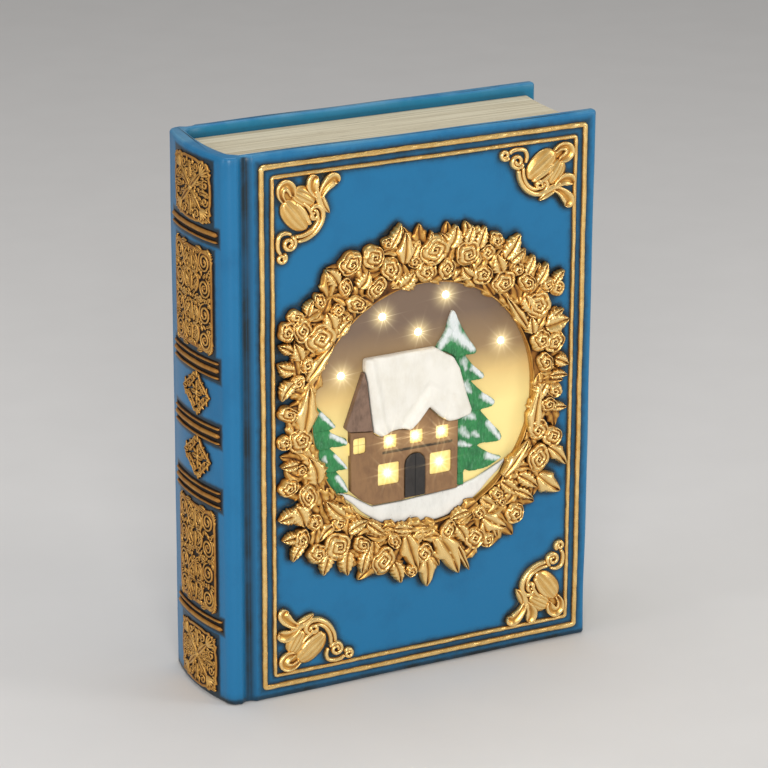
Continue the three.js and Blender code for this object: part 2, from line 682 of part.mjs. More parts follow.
// Bands: thick and thin bars over a web, which start near the front shoulder
const bandFromShoulder = 2.3;
const bandHalfWidth = spineArcHalf - bandFromShoulder;
const bandMiddleY = -2.2;
const thickBar = 3.3;
const thinBar = 1.7;
const barSpacing = 1.4;
const thinBarRise = 1.2;
const bandRows = [
  { name: 'spine_band_1', topShare: 0.869, bars: [thickBar, thinBar] },
  { name: 'spine_band_2', topShare: 0.638, bars: [thinBar, thickBar, thinBar] },
  { name: 'spine_band_3', topShare: 0.519, bars: [thinBar, thickBar, thinBar] },
  { name: 'spine_band_4', topShare: 0.401, bars: [thinBar, thickBar, thinBar] },
  { name: 'spine_band_5', topShare: 0.158, bars: [thinBar, thickBar] },
];

function bandEdges({ topShare, bars }) {
  const top = bookHeight * topShare;
  const height = bars.reduce((sum, bar) => sum + bar, 0) + barSpacing * (bars.length - 1);
  return { foot: top - height, top };
}

const bandPlaces = bandRows.map(bandEdges);

function spineBand({ name, topShare, bars }) {
  const start = bookHeight * topShare;
  let top = start;
  let foot = start;
  const strips = bars.map((height) => {
    const rise = height === thickBar ? spineRelief : thinBarRise;
    foot = top - height;
    const strip = spineStrip(bandMiddleY, bandHalfWidth, fitGap + webThickness / 4, rise, foot, top);
    top = foot - barSpacing;
    return strip;
  });
  const web = spineStrip(bandMiddleY, bandHalfWidth, fitGap, fitGap + webThickness / 2, foot, start);
  return piece(name, joined([web, ...strips]), finishes.gold);
}

// Ornate end panels: a scalloped plate with a cross of leaves and ribbed corners
const endPanelInset = 4;
const endPanelHeadGap = 3.6;
const panelGap = 0.5;
const panelMiddleY = -3.5;
const endPanelHalfWidth = bandHalfWidth - endPanelInset;
const endPanelHalfHeight = (bookHeight - endPanelHeadGap - bandPlaces[0].top - panelGap) / 2;

const endPanelRows = [
  { name: 'spine_panel_top', middleZ: bandPlaces[0].top + panelGap + endPanelHalfHeight },
  { name: 'spine_panel_foot', middleZ: bandPlaces[4].foot / 2 },
];

function spineEndPanel({ name, middleZ }) {
  const scallops = 12;
  const scallopDepth = 0.05;
  const squareness = 5;
  const steps = 24;
  const plate = arcPoints(0, 0, 1, 1, 0, 1, steps).slice(1).map(([y, z], i) => {
    const scallop = 1 - scallopDepth * (1 - Math.cos((2 * Math.PI * scallops * (i + 1)) / steps)) / 2;
    return [
      endPanelHalfWidth * scallop * Math.sign(y) * Math.abs(y) ** (2 / squareness),
      endPanelHalfHeight * scallop * Math.sign(z) * Math.abs(z) ** (2 / squareness),
    ];
  });
  const foot = middleZ - endPanelHalfHeight;
  const top = middleZ + endPanelHalfHeight;
  const strip = spineStrip(panelMiddleY, endPanelHalfWidth, fitGap, fitGap + webThickness, foot, top);
  const web = solidOf(strip).intersect(solidOf(silhouette(plate, panelMiddleY, middleZ)));
  const rise = spineRelief - fitGap - webThickness;
  const petalShares = { spread: 0.32, length: 0.4, width: 0.2 };
  const fanShares = { spread: 0.72, length: 0.22, width: 0.16 };
  const work = [-1, 1].flatMap((sideY) =>
    [-1, 1].flatMap((sideZ) =>
      [petalShares, fanShares].map(({ spread, length, width }, i) => {
        const y = panelMiddleY + endPanelHalfWidth * spread * sideY;
        const z = endPanelHalfHeight * spread * sideZ;
        const turn = (sideY * sideZ * (i === 0 ? 1 : -1)) / 8;
        return spineLobe(y, z, endPanelHalfWidth * length, endPanelHalfHeight * width, rise, turn, middleZ);
      }),
    ),
  );
  return piece(name, raised(web, work, panelMiddleY, endPanelHalfWidth, foot, top), finishes.gold);
}

// Tall filigree panels: rows of scrolls on a rectangular plate
const filigreeInset = 3;
const filigreeHalfWidth = bandHalfWidth - filigreeInset;
const filigreeRodRadius = 0.6;
const filigreeFootGap = 1.2;

const filigreeRows = [
  { name: 'spine_panel_upper', above: bandPlaces[1], below: bandPlaces[0], headGap: 3.4 },
  { name: 'spine_panel_lower', above: bandPlaces[4], below: bandPlaces[3], headGap: 1.6 },
];

function spineFiligree({ name, above, below, headGap }) {
  const foot = above.top + filigreeFootGap;
  const top = below.foot - headGap;
  const middleZ = (foot + top) / 2;
  const halfHeight = (top - foot) / 2;
  const web = solidOf(spineStrip(panelMiddleY, filigreeHalfWidth, fitGap, fitGap + webThickness, foot, top));
  const rows = 3;
  const columns = 2;
  const field = { width: (2 * filigreeHalfWidth) / columns, height: (2 * halfHeight) / rows };
  const outerShare = 0.42;
  const innerShare = 0.12;
  const steps = 8;
  const work = [];
  for (let row = 0; row < rows; row += 1) {
    for (let column = 0; column < columns; column += 1) {
      const y = panelMiddleY - filigreeHalfWidth + field.width * (column + 0.5);
      const z = -halfHeight + field.height * (row + 0.5);
      const hand = (row + column) % 2 === 0 ? 1 : -1;
      const from = field.height * outerShare;
      const places = spiralPoints(y, z, from, field.height * innerShare, 0.25, 1.25 * hand, steps);
      work.push(spineRod(places, filigreeRodRadius, middleZ));
    }
  }
  return piece(name, raised(web, work, panelMiddleY, filigreeHalfWidth, foot, top), finishes.gold);
}

// Lozenges between the middle bands, set nearer to the front board
const lozengeInset = 7;
const lozengeMiddleY = -6.8;
const lozengeHalfWidth = bandHalfWidth - lozengeInset;
const lozengeHalfHeight = (bandPlaces[2].foot - bandPlaces[3].top) / 2 - panelGap;

const lozengeRows = [
  { name: 'spine_lozenge_upper', middleZ: (bandPlaces[1].foot + bandPlaces[2].top) / 2 },
  { name: 'spine_lozenge_lower', middleZ: (bandPlaces[2].foot + bandPlaces[3].top) / 2 },
];

function spineLozenge({ name, middleZ }) {
  const foot = middleZ - lozengeHalfHeight;
  const top = middleZ + lozengeHalfHeight;
  const strip = spineStrip(lozengeMiddleY, lozengeHalfWidth, fitGap, fitGap + webThickness, foot, top);
  const tips = arcPoints(0, 0, lozengeHalfWidth, lozengeHalfHeight, 0, 1, 4).slice(1);
  const web = solidOf(strip).intersect(solidOf(silhouette(tips, lozengeMiddleY, middleZ)));
  const rise = spineRelief - fitGap - webThickness;
  const petalShares = { spread: 0.42, length: 0.3, width: 0.16 };
  const work = [0, 0.25, 0.5, 0.75].map((turn) => {
    const y = lozengeMiddleY + lozengeHalfWidth * petalShares.spread * Math.cos(2 * Math.PI * turn);
    const z = lozengeHalfHeight * petalShares.spread * Math.sin(2 * Math.PI * turn);
    const halfLength = lozengeHalfWidth * petalShares.length;
    return spineLobe(y, z, halfLength, lozengeHalfHeight * petalShares.width, rise, turn, middleZ);
  });
  return piece(name, raised(web, work, lozengeMiddleY, lozengeHalfWidth, foot, top), finishes.gold);
}

// Cottage scene, drawn from the window's middle, with its back just clear of the sky panel.
// Its outlines are shares of the window's radius, in thirty-seconds.

const roofShares = [
  [-17, 14.1], [3.3, 14.3], [6.4, 12.2], [8.7, 10.9], [10.5, 7.7], [12.4, 0.9], [14.2, -4.1], [13.7, -5.5],
  [10.5, -6.2], [6.9, -6.2], [4.6, -4.6], [1.4, -1.4], [-1.3, -4.6], [-4, -6.9], [-6.3, -6.2], [-9, -6.4],
  [-12.6, -7.5], [-14.5, -6.2], [-15.1, -1.9], [-15.6, 1.8], [-16.3, 7.7], [-17.2, 11.3],
];
const wallsShares = [
  [-14.6, 1], [-14.8, -5.9], [-21.3, -5.1], [-21.1, -21.4], [-14.9, -27.4], [10.2, -27.4], [10.3, 1],
];
const gableShares = [[-17.3, 10.8], [-22.7, -3.9], [-21.6, -4.9], [-14.8, -5.7], [-14.5, -2], [-16, 9]];
const groundShares = [
  [-34, -20], [-24.6, -21.1], [-20.9, -22.5], [-16.8, -25.2], [-14.6, -26.4], [-5.8, -26.4], [10.1, -25.7],
  [16, -24.2], [25.3, -20], [34, -16], [34, -34], [-34, -34],
];
const rightTreeShares = [
  [8.5, 23.4], [4, 14.3], [5.5, 10], [9.5, 0], [9.5, -26.8], [12.6, -26.4], [12.8, -20.7], [19.2, -20.7],
  [23, -19.1], [16.4, -14.1], [23.5, -13.4], [17.4, -4.6], [21, -3.7], [14.4, 3.8], [17.8, 4.1], [12.4, 11.3],
  [15.5, 11.6],
];
const leftTreeShares = [
  [-31.3, 4.1], [-25.6, -2.5], [-27.6, -3.2], [-21.7, -7.8], [-27.1, -8.2], [-21.7, -14.5], [-25.2, -15],
  [-21.8, -20.9], [-24.6, -22.1], [-34, -22.1], [-34, 4.1],
];

const starShares = [[-11.1, 24.1], [7.3, 27.4], [-0.7, 18.5], [23.8, 12.5], [-23, 10]];
// Each window of the house gives its middle, then its width and height.
const upperWindowShares = [[-9.6, -9.4, 3.8, 3.6], [-2, -9.2, 3.8, 3.6], [5.7, -9.2, 3.8, 3.6]];
const lowerWindowShares = [[-10.1, -18.2, 6.2, 5.9], [5.2, -17.6, 6.2, 5.9]];
const sideWindowShares = [-18.6, -9.2, 3.5, 4.2];
const litWindowShares = [...upperWindowShares, ...lowerWindowShares];
const sheetMargin = 0.8;
const doorMiddleShare = -2.4;
const doorHalfWidthShare = 3;
const doorFootShare = -26;
const doorSpringShare = -16.6;

function cast(shares, fromZ, toZ) {
  return slab(scaled(shares, windowUnit), fromZ, toZ);
}

function movedBy(shares, x, y, toZ) {
  return solidOf(cast(shares, -cutOverrun, toZ + cutOverrun)).translate([x, y, 0]);
}

function insideHole(solid) {
  const room = disc(0, 0, windowHoleRadius - fitGap, 0, roofDepth + cutOverrun, windowSegments);
  return solid.intersect(solidOf(room));
}

function paneBlocks(fromZ, toZ) {
  return scaled([...litWindowShares, sideWindowShares], windowUnit).map(([x, y, width, height]) =>
    block(x - width / 2, x + width / 2, y - height / 2, y + height / 2, fromZ, toZ),
  );
}

function sheetBlocks(growth, fromZ, toZ) {
  const margin = sheetMargin + growth;
  const [sideX, rowY, sideWidth, sideHeight] = sideWindowShares.map((share) => share * windowUnit);
  const [lastX, , lastWidth] = upperWindowShares[2].map((share) => share * windowUnit);
  const left = sideX - sideWidth / 2 - margin;
  const right = lastX + lastWidth / 2 + margin;
  const halfHeight = sideHeight / 2 + margin;
  const strip = block(left, right, rowY - halfHeight, rowY + halfHeight, fromZ, toZ);
  const legs = scaled(lowerWindowShares, windowUnit).map(([x, y, width, height]) => {
    const halfX = width / 2 + margin;
    return block(x - halfX, x + halfX, y - height / 2 - margin, rowY, fromZ, toZ);
  });
  return joined([strip, ...legs]);
}

function doorOutline(growth) {
  const half = doorHalfWidthShare * windowUnit + growth;
  const foot = doorFootShare * windowUnit - growth;
  const spring = doorSpringShare * windowUnit;
  const x = doorMiddleShare * windowUnit;
  const archSteps = 6;
  return [[x - half, foot], [x + half, foot], ...arcPoints(x, spring, half, half, 0, 0.5, archSteps)];
}

function snowRoof() {
  const softening = { bevelSize: roofSoftening, bevelOffset: -roofSoftening, bevelThickness: roofSoftening };
  const depth = roofDepth - roofSoftening;
  const slabOfSnow = new THREE.ExtrudeGeometry(outlineOf(scaled(roofShares, windowUnit)), {
    depth,
    bevelSegments: 1,
    ...softening,
  }).translate(0, 0, fitGap);
  return aboveFace(solidOf(slabOfSnow).translate([0, 0, -fitGap])).translate([0, 0, fitGap]);
}

function houseWalls() {
  const frontZ = fitGap + wallsDepth;
  const pocketFront = frontZ - wallsSkin;
  const body = solidOf(cast(wallsShares, fitGap, frontZ));
  const roofCut = movedBy(roofShares, 0, -fitGap, frontZ).add(movedBy(roofShares, 0, 0, frontZ));
  const groundCut = movedBy(groundShares, 0, fitGap, frontZ);
  const pocket = sheetBlocks(fitGap, -cutOverrun, pocketFront);
  const openings = joined(paneBlocks(pocketFront - cutOverrun, frontZ + cutOverrun));
  const doorCut = solidOf(slab(doorOutline(fitGap), frontZ - doorRecess, frontZ + cutOverrun));
  return body.subtract(roofCut).subtract(groundCut).subtract(pocket).subtract(openings).subtract(doorCut);
}

function sideGable() {
  const body = solidOf(cast(gableShares, fitGap, fitGap + gableDepth));
  return body.subtract(movedBy(roofShares, -fitGap, -fitGap, gableDepth));
}

function windowSheet() {
  const front = fitGap + wallsDepth - wallsSkin - fitGap;
  const underRoof = movedBy(roofShares, 0, -fitGap, wallsDepth).add(movedBy(roofShares, 0, 0, wallsDepth));
  return sheetBlocks(0, front - sheetThickness, front).subtract(underRoof);
}

function frontDoor() {
  const foot = doorFootShare * windowUnit + 2 * fitGap;
  const back = fitGap + wallsDepth - doorRecess + fitGap;
  return solidOf(slab(doorOutline(0), back, back + doorDepth)).trimByPlane([0, 1, 0], foot);
}

function snowGround() {
  return insideHole(solidOf(cast(groundShares, fitGap, fitGap + groundDepth)));
}

function rightTree() {
  const body = solidOf(cast(rightTreeShares, fitGap, fitGap + treeDepth));
  const roofCuts = [-fitGap, fitGap].map((y) => movedBy(roofShares, fitGap, y, treeDepth));
  const wallsCut = movedBy(wallsShares, fitGap, 0, treeDepth);
  const groundCut = movedBy(groundShares, 0, fitGap, treeDepth);
  return body.subtract(wasm.Manifold.union([...roofCuts, wallsCut, groundCut]));
}

function leftTree() {
  const body = solidOf(cast(leftTreeShares, fitGap, fitGap + treeDepth));
  return insideHole(body.subtract(movedBy(groundShares, 0, fitGap, treeDepth)));
}

// Lights: the sky panel, the LED board behind it and ten LEDs through the panel

const ledPlaces = scaled([...starShares, ...litWindowShares], windowUnit);
const boardFront = ledProud - ledLength - fitGap;
const boardBack = boardFront - ledBoardThickness;
const bossTurns = [0.25, 0.58, 0.92];
const bossPlaces = bossTurns.map((turn) => [
  bossCircle * Math.cos(2 * Math.PI * turn),
  bossCircle * Math.sin(2 * Math.PI * turn),
]);

function skyPanel() {
  const bossBack = boardFront + fitGap;
  const plate = disc(0, 0, panelRadius, -panelThickness, 0, windowSegments);
  const bosses = bossPlaces.map(([x, y]) => disc(x, y, bossRadius, bossBack, 0, screwSides));
  const holes = ledPlaces.map(([x, y]) =>
    disc(x, y, ledRadius + fitGap, -panelThickness - cutOverrun, cutOverrun, ledSides),
  );
  const pilotEnd = bossBack + boardScrewBite + fitGap;
  const pilots = bossPlaces.map(([x, y]) =>
    disc(x, y, boardScrewRadius + fitGap, bossBack - cutOverrun, pilotEnd, screwSides),
  );
  return joined([plate, ...bosses]).subtract(joined([...holes, ...pilots]));
}

function led(x, y) {
  const domeShare = 0.8;
  const profile = [
    [0, 0],
    [ledFlangeRadius, 0],
    [ledFlangeRadius, ledFlangeHeight],
    [ledRadius, ledFlangeHeight],
    [ledRadius, ledLength - ledRadius],
    [ledRadius * domeShare, ledLength - ledRadius * (1 - domeShare)],
    [0, ledLength],
  ];
  return turned(profile, ledSides).translate(x, y, boardFront + fitGap);
}

const resistorSize = { length: 3.2, width: 1.6, height: 0.6 };

function ledBoard() {
  const plate = disc(0, 0, ledBoardRadius, boardBack, boardFront, windowSegments);
  const { length, width, height } = resistorSize;
  const halfLength = length / 2;
  const resistor = block(-halfLength, halfLength, -width / 2, width / 2, boardBack - height, boardFront);
  const holes = bossPlaces.map(([x, y]) =>
    disc(x, y, boardScrewRadius + fitGap, boardBack - cutOverrun, boardFront + cutOverrun, screwSides),
  );
  return joined([plate, resistor]).subtract(joined(holes));
}

// A screw with its head's top at the origin and its shank down -Z.
function screw(shankRadius, length, headRadius, headHeight) {
  const shank = [[0, -length], [shankRadius, -length], [shankRadius, -headHeight]];
  return turned([...shank, [headRadius, -headHeight], [headRadius, 0], [0, 0]], screwSides);
}

function boardScrews() {
  const length = boardScrewHeadHeight + ledBoardThickness + 2 * fitGap + boardScrewBite;
  return bossPlaces.map(([x, y], i) => {
    const body = screw(boardScrewRadius, length, boardScrewHeadRadius, boardScrewHeadHeight);
    const placed = body.rotateX(Math.PI).translate(x, y, boardBack - fitGap - boardScrewHeadHeight);
    return piece(`board_screw_${i + 1}`, placed, finishes.steel);
  });
}

// Battery box, drawn from behind the book, with its origin amid the cells on the flange's outer face.

const cellPitch = 2 * cellRadius + cellPlay;
const bayHalfLength = (cellLength + cellNubLength + springRoom + plateRoom) / 2;
const bayHalfWidth = (3 * cellPitch) / 2;
const bayTop = -(doorThickness + fitGap);
const bayFloor = bayTop - 2 * cellRadius - cellPlay;
const trayHalfLength = bayHalfLength + trayWall;
const trayHalfWidth = bayHalfWidth + trayWall;
const trayFloor = bayFloor - trayWall;
const switchMiddle = trayHalfWidth + switchFromTray + switchWidth / 2;
const switchTop = switchMiddle + switchWidth / 2 + fitGap;
const doorHalfLength = bayHalfLength + doorLedge;
const doorHalfHeight = bayHalfWidth + doorLedge;
const hingeY = -doorHalfHeight + doorThickness / 2;
const hingeZ = -doorThickness / 2;
const cellZ = bayFloor + cellRadius + cellPlay / 2;
const cellRows = [-cellPitch, 0, cellPitch];
const plusEnds = [1, -1, 1];

function flangeEdges() {
  return {
    left: -trayHalfLength - flangeMargin,
    right: trayHalfLength + flangeMargin,
    foot: -trayHalfWidth - flangeMargin,
    top: switchTop + flangeMargin,
  };
}

function boxScrewPlaces() {
  const { left, right, foot, top } = flangeEdges();
  return corners({
    left: left + boxScrewInset,
    right: right - boxScrewInset,
    foot: foot + boxScrewInset,
    top: top - boxScrewInset,
  });
}

const plusPlateX = bayHalfLength - plateRoom / 2;
const tagSlotHalf = tagWidth / 2 + fitGap;
const plusTagY = cellRows[2];
const minusTagY = cellRows[0];

function batteryBox() {
  const { left, right, foot, top } = flangeEdges();
  const flange = block(left, right, foot, top, -flangeThickness, 0);
  const trayTop = -flangeThickness / 2;
  const tray = block(-trayHalfLength, trayHalfLength, -trayHalfWidth, trayHalfWidth, trayFloor, trayTop);
  const recessX = doorHalfLength + fitGap;
  const recessY = doorHalfHeight + fitGap;
  const doorRecessCut = block(-recessX, recessX, -recessY, recessY, bayTop, cutOverrun);
  const bay = block(-bayHalfLength, bayHalfLength, -bayHalfWidth, bayHalfWidth, bayFloor, cutOverrun);
  const pinReach = doorHalfLength + hingePinLength + fitGap;
  const hingeHole = disc(0, 0, hingePinRadius + fitGap, -pinReach, pinReach, screwSides)
    .rotateY(Math.PI / 2)
    .translate(0, hingeY, hingeZ);
  const notchY = doorHalfHeight + fitGap;
  const notch = block(
    -thumbNotchWidth / 2,
    thumbNotchWidth / 2,
    notchY - cutOverrun,
    notchY + thumbNotchDepth,
    -thumbNotchDepth,
    cutOverrun,
  );
  const pocketX = switchLength / 2 - switchWall + pocketMargin / 2;
  const pocketY = knobWidth / 2 + pocketMargin;
  const pocketTop = switchMiddle + pocketY;
  const pocket = block(-pocketX, pocketX, switchMiddle - pocketY, pocketTop, -pocketDepth, cutOverrun);
  const slotX = (knobLength + switchTravel) / 2 + fitGap;
  const slotY = knobWidth / 2 + fitGap;
  const slotFoot = -flangeThickness - cutOverrun;
  const slot = block(-slotX, slotX, switchMiddle - slotY, switchMiddle + slotY, slotFoot, 0);
  const screwHoles = boxScrewPlaces().flatMap(([x, y]) => [
    disc(x, y, boxScrewRadius + fitGap, slotFoot, 0, screwSides),
    disc(x, y, boxScrewHeadRadius + fitGap, -boxScrewHeadHeight - 2 * fitGap, cutOverrun, screwSides),
  ]);
  const tagSlots = [
    [plusPlateX, plusTagY],
    [-plusPlateX, minusTagY],
  ].map(([x, y]) =>
    block(
      x - plateThickness / 2 - fitGap,
      x + plateThickness / 2 + fitGap,
      y - tagSlotHalf,
      y + tagSlotHalf,
      trayFloor - cutOverrun,
      bayFloor + cutOverrun,
    ),
  );
  const ribHalfLength = bayHalfLength / 2;
  const ribFoot = bayFloor - trayWall / 2;
  const ribs = [-1, 1].map((side) => {
    const y = (side * cellPitch) / 2;
    const half = ribThickness / 2;
    return block(-ribHalfLength, ribHalfLength, y - half, y + half, ribFoot, bayFloor + ribHeight);
  });
  const cuts = [doorRecessCut, bay, hingeHole, notch, pocket, slot, ...screwHoles, ...tagSlots];
  return joined([flange, tray]).subtract(joined(cuts)).add(joined(ribs));
}

function batteryDoor() {
  const barrelSteps = 6;
  const side = [
    ...arcPoints(hingeY, hingeZ, doorThickness / 2, doorThickness / 2, 0.75, 0.25, barrelSteps),
    [doorHalfHeight, 0],
    [doorHalfHeight, -doorThickness],
  ];
  const plate = slab(side, -doorHalfLength, doorHalfLength).applyMatrix4(alongX);
  const pinEnd = doorHalfLength + hingePinLength;
  const pin = disc(0, 0, hingePinRadius, -pinEnd, pinEnd, screwSides)
    .rotateY(Math.PI / 2)
    .translate(0, hingeY, hingeZ);
  const latchTop = bayHalfWidth - fitGap;
  const latch = block(
    -latchWidth / 2,
    latchWidth / 2,
    latchTop - latchThickness,
    latchTop,
    -doorThickness - latchDepth,
    -doorThickness / 2,
  );
  return joined([plate, pin, latch]);
}

// A cell along X, with its nub towards the given side.
function cell(row, side) {
  const shoulder = 0.7;
  const half = cellLength / 2;
  const profile = [
    [0, -half],
    [cellRadius - shoulder, -half],
    [cellRadius, -half + shoulder],
    [cellRadius, half - shoulder],
    [cellRadius - shoulder, half],
    [cellNubRadius, half],
    [cellNubRadius, half + cellNubLength],
    [0, half + cellNubLength],
  ];
  const middleX = (springRoom - plateRoom) / 2 - cellNubLength / 2 + fitGap;
  const drawn = turned(profile, cellSides).rotateY((side * Math.PI) / 2);
  return drawn.translate(side * middleX, cellRows[row], cellZ);
}

// Contacts: spring wire on a plate for each minus end, a bare plate for each plus end.
// `side` is the end of the bay that the plate stands at.

function contactPlate(side, fromY, toY) {
  const x = side * plusPlateX;
  const rise = plateWidth / 2;
  return block(x - plateThickness / 2, x + plateThickness / 2, fromY, toY, cellZ - rise, cellZ + rise);
}

function contactSpring(side, row) {
  const steps = Math.round(springTurns * springSteps);
  const x = side * (plusPlateX - plateThickness / 2);
  const cellEnd = bayHalfLength - plateRoom - springRoom + 2 * fitGap;
  const run = plusPlateX - plateThickness / 2 - cellEnd - fitGap;
  const points = Array.from({ length: steps + 1 }, (_, i) => {
    const share = i / steps;
    const radius = springFootRadius + (springTipRadius - springFootRadius) * share;
    const angle = 2 * Math.PI * springTurns * share;
    const reach = (run - springWireRadius) * share;
    const y = cellRows[row] + radius * Math.cos(angle);
    return new THREE.Vector3(x - side * reach, y, cellZ + radius * Math.sin(angle));
  });
  return rod(points, points.map(() => springWireRadius), springSides, new THREE.Vector3(1, 0, 0));
}

function contactTag(side, y) {
  const x = side * plusPlateX;
  const half = tagWidth / 2;
  const tagEnd = trayFloor - tagReach;
  return block(x - plateThickness / 2, x + plateThickness / 2, y - half, y + half, tagEnd, cellZ);
}

function contacts() {
  const half = plateWidth / 2;
  const minus = joined([
    contactPlate(-plusEnds[0], cellRows[0] - half, cellRows[0] + half),
    contactSpring(-plusEnds[0], 0),
    contactTag(-plusEnds[0], minusTagY),
  ]);
  const plus = joined([
    contactPlate(plusEnds[2], cellRows[2] - half, cellRows[2] + half),
    contactTag(plusEnds[2], plusTagY),
  ]);
  const bridgeLow = joined([contactPlate(1, cellRows[0] - half, cellRows[1] + half), contactSpring(1, 1)]);
  const bridgeHigh = joined([contactPlate(-1, cellRows[1] - half, cellRows[2] + half), contactSpring(-1, 2)]);
  return [
    piece('contact_minus', minus, finishes.steel),
    piece('contact_plus', plus, finishes.steel),
    piece('contact_bridge_1', bridgeLow, finishes.steel),
    piece('contact_bridge_2', bridgeHigh, finishes.steel),
  ];
}

// Slide switch behind the flange, off at the left of its slot as seen from behind

const switchFrontZ = -flangeThickness - fitGap;
const switchBackZ = switchFrontZ - switchDepth;
const cavityHalf = (sliderLength + switchTravel) / 2 + fitGap;
const offX = -switchTravel / 2;

function switchBody() {
  const halfY = switchWidth / 2;
  const cavityY = halfY - switchWall;
  const floor = switchFrontZ - switchWall - sliderFoot;
  const body = block(
    -switchLength / 2,
    switchLength / 2,
    switchMiddle - halfY,
    switchMiddle + halfY,
    switchBackZ,
    switchFrontZ,
  );
  const cavityTop = switchMiddle + cavityY;
  const cavity = block(-cavityHalf, cavityHalf, switchMiddle - cavityY, cavityTop, floor, cutOverrun);
  return solidOf(body).subtract(solidOf(cavity));
}

function switchSlider() {
  const footY = switchWidth / 2 - switchWall - fitGap;
  const footZ = switchFrontZ - switchWall - sliderFoot + fitGap;
  const footTop = footZ + sliderFoot;
  const foot = block(
    offX - sliderLength / 2,
    offX + sliderLength / 2,
    switchMiddle - footY,
    switchMiddle + footY,
    footZ,
    footTop,
  );
  const knob = block(
    offX - knobLength / 2,
    offX + knobLength / 2,
    switchMiddle - knobWidth / 2,
    switchMiddle + knobWidth / 2,
    footZ + sliderFoot / 2,
    -fitGap,
  );
  return joined([foot, knob]);
}

function boxScrews() {
  return boxScrewPlaces().map(([x, y], i) => {
    const body = screw(boxScrewRadius, boxScrewLength, boxScrewHeadRadius, boxScrewHeadHeight);
    return piece(`box_screw_${i + 1}`, body.translate(x, y, -fitGap), finishes.steel);
  });
}

// Wires: straight out of the box, up inside the pages and square on to the LED board

function wire(start, end, sag) {
  const straightShare = 4;
  const straight = straightShare * wireRadius;
  const curve = new THREE.CatmullRomCurve3([
    start,
    start.clone().add(new THREE.Vector3(0, -straight, 0)),
    new THREE.Vector3((start.x + end.x) / 2, (start.y + end.y) / 2, (start.z + end.z) / 2 - sag),
    end.clone().add(new THREE.Vector3(0, straight, 0)),
    end,
  ]);
  const steps = 14;
  const points = curve.getPoints(steps);
  points[0].copy(start);
  points[steps].copy(end);
  return rod(points, points.map(() => wireRadius), wireSides, new THREE.Vector3(1, 0, 0));
}

const wireSpread = 12;
const wireSag = 6;

function wires() {
  const boardRearY = panelY - boardBack + fitGap;
  const inBox = (x, y, z) => new THREE.Vector3(x, y, z).applyMatrix4(boxFrame);
  const fromSwitch = inBox(switchLength / 4, switchMiddle, switchBackZ - fitGap);
  const fromMinus = inBox(-plusPlateX, minusTagY, trayFloor - tagReach - fitGap);
  const toPlus = new THREE.Vector3(windowX - wireSpread, boardRearY, windowHeight);
  const toMinus = new THREE.Vector3(windowX + wireSpread, boardRearY, windowHeight);
  return [
    piece('wire_plus', wire(fromSwitch, toPlus, wireSag), finishes.red),
    piece('wire_minus', wire(fromMinus, toMinus, wireSag), finishes.black),
  ];
}

// Assembly

const frontPieces = [
  piece('outer_gold_line', goldLine(0), finishes.gold),
  piece('inner_gold_line', goldLine(lineSpacing), finishes.gold),
  ...cornerOrnaments(),
  piece('rose_wreath', wreath(), finishes.gold),
];

const spinePieces = [
  ...endPanelRows.map(spineEndPanel),
  ...filigreeRows.map(spineFiligree),
  ...lozengeRows.map(spineLozenge),
  ...bandRows.map(spineBand),
];
const spineGroup = new THREE.Group();
spineGroup.position.set(0, middleY, 0);
spineGroup.add(...spinePieces);

const scenePieces = [
  piece('sky_panel', skyPanel(), finishes.sky),
  piece('snow_ground', snowGround(), finishes.snow),
  piece('house_walls', houseWalls(), finishes.brown),
  piece('side_gable', sideGable(), finishes.gable),
  piece('snow_roof', snowRoof(), finishes.snow),
  piece('front_door', frontDoor(), finishes.door),
  piece('right_tree', rightTree(), finishes.green),
  piece('left_tree', leftTree(), finishes.green),
  piece('window_sheet', windowSheet(), finishes.pane),
  piece('led_board', ledBoard(), finishes.board),
  ...ledPlaces.map(([x, y], i) => piece(`led_${i + 1}`, led(x, y), finishes.led)),
  ...boardScrews(),
];

const boxPieces = [
  piece('battery_box', batteryBox(), finishes.plastic),
  piece('battery_door', batteryDoor(), finishes.plastic),
  ...plusEnds.map((side, row) => piece(`battery_${row + 1}`, cell(row, side), finishes.cell)),
  ...contacts(),
  piece('switch_body', switchBody(), finishes.steel),
  piece('switch_slider', switchSlider(), finishes.black),
  ...boxScrews(),
];

const book = new THREE.Group();
book.add(piece('book_case', bookCase(), finishes.blue), piece('page_block', pageBlock(), finishes.page));
book.add(framed(frontFrame, frontPieces), spineGroup, framed(windowFrame, scenePieces));
book.add(framed(boxFrame, boxPieces), ...wires());

export default book;
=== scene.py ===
# A lighted book decoration: a cast closed book, blue and gold, with a lit winter cottage behind a round window.
# The frame is in metres. Forms are modelled in millimetres and scaled as they are finished.
import math
import random

import bmesh
import bpy
from mathutils import Matrix, Vector, noise


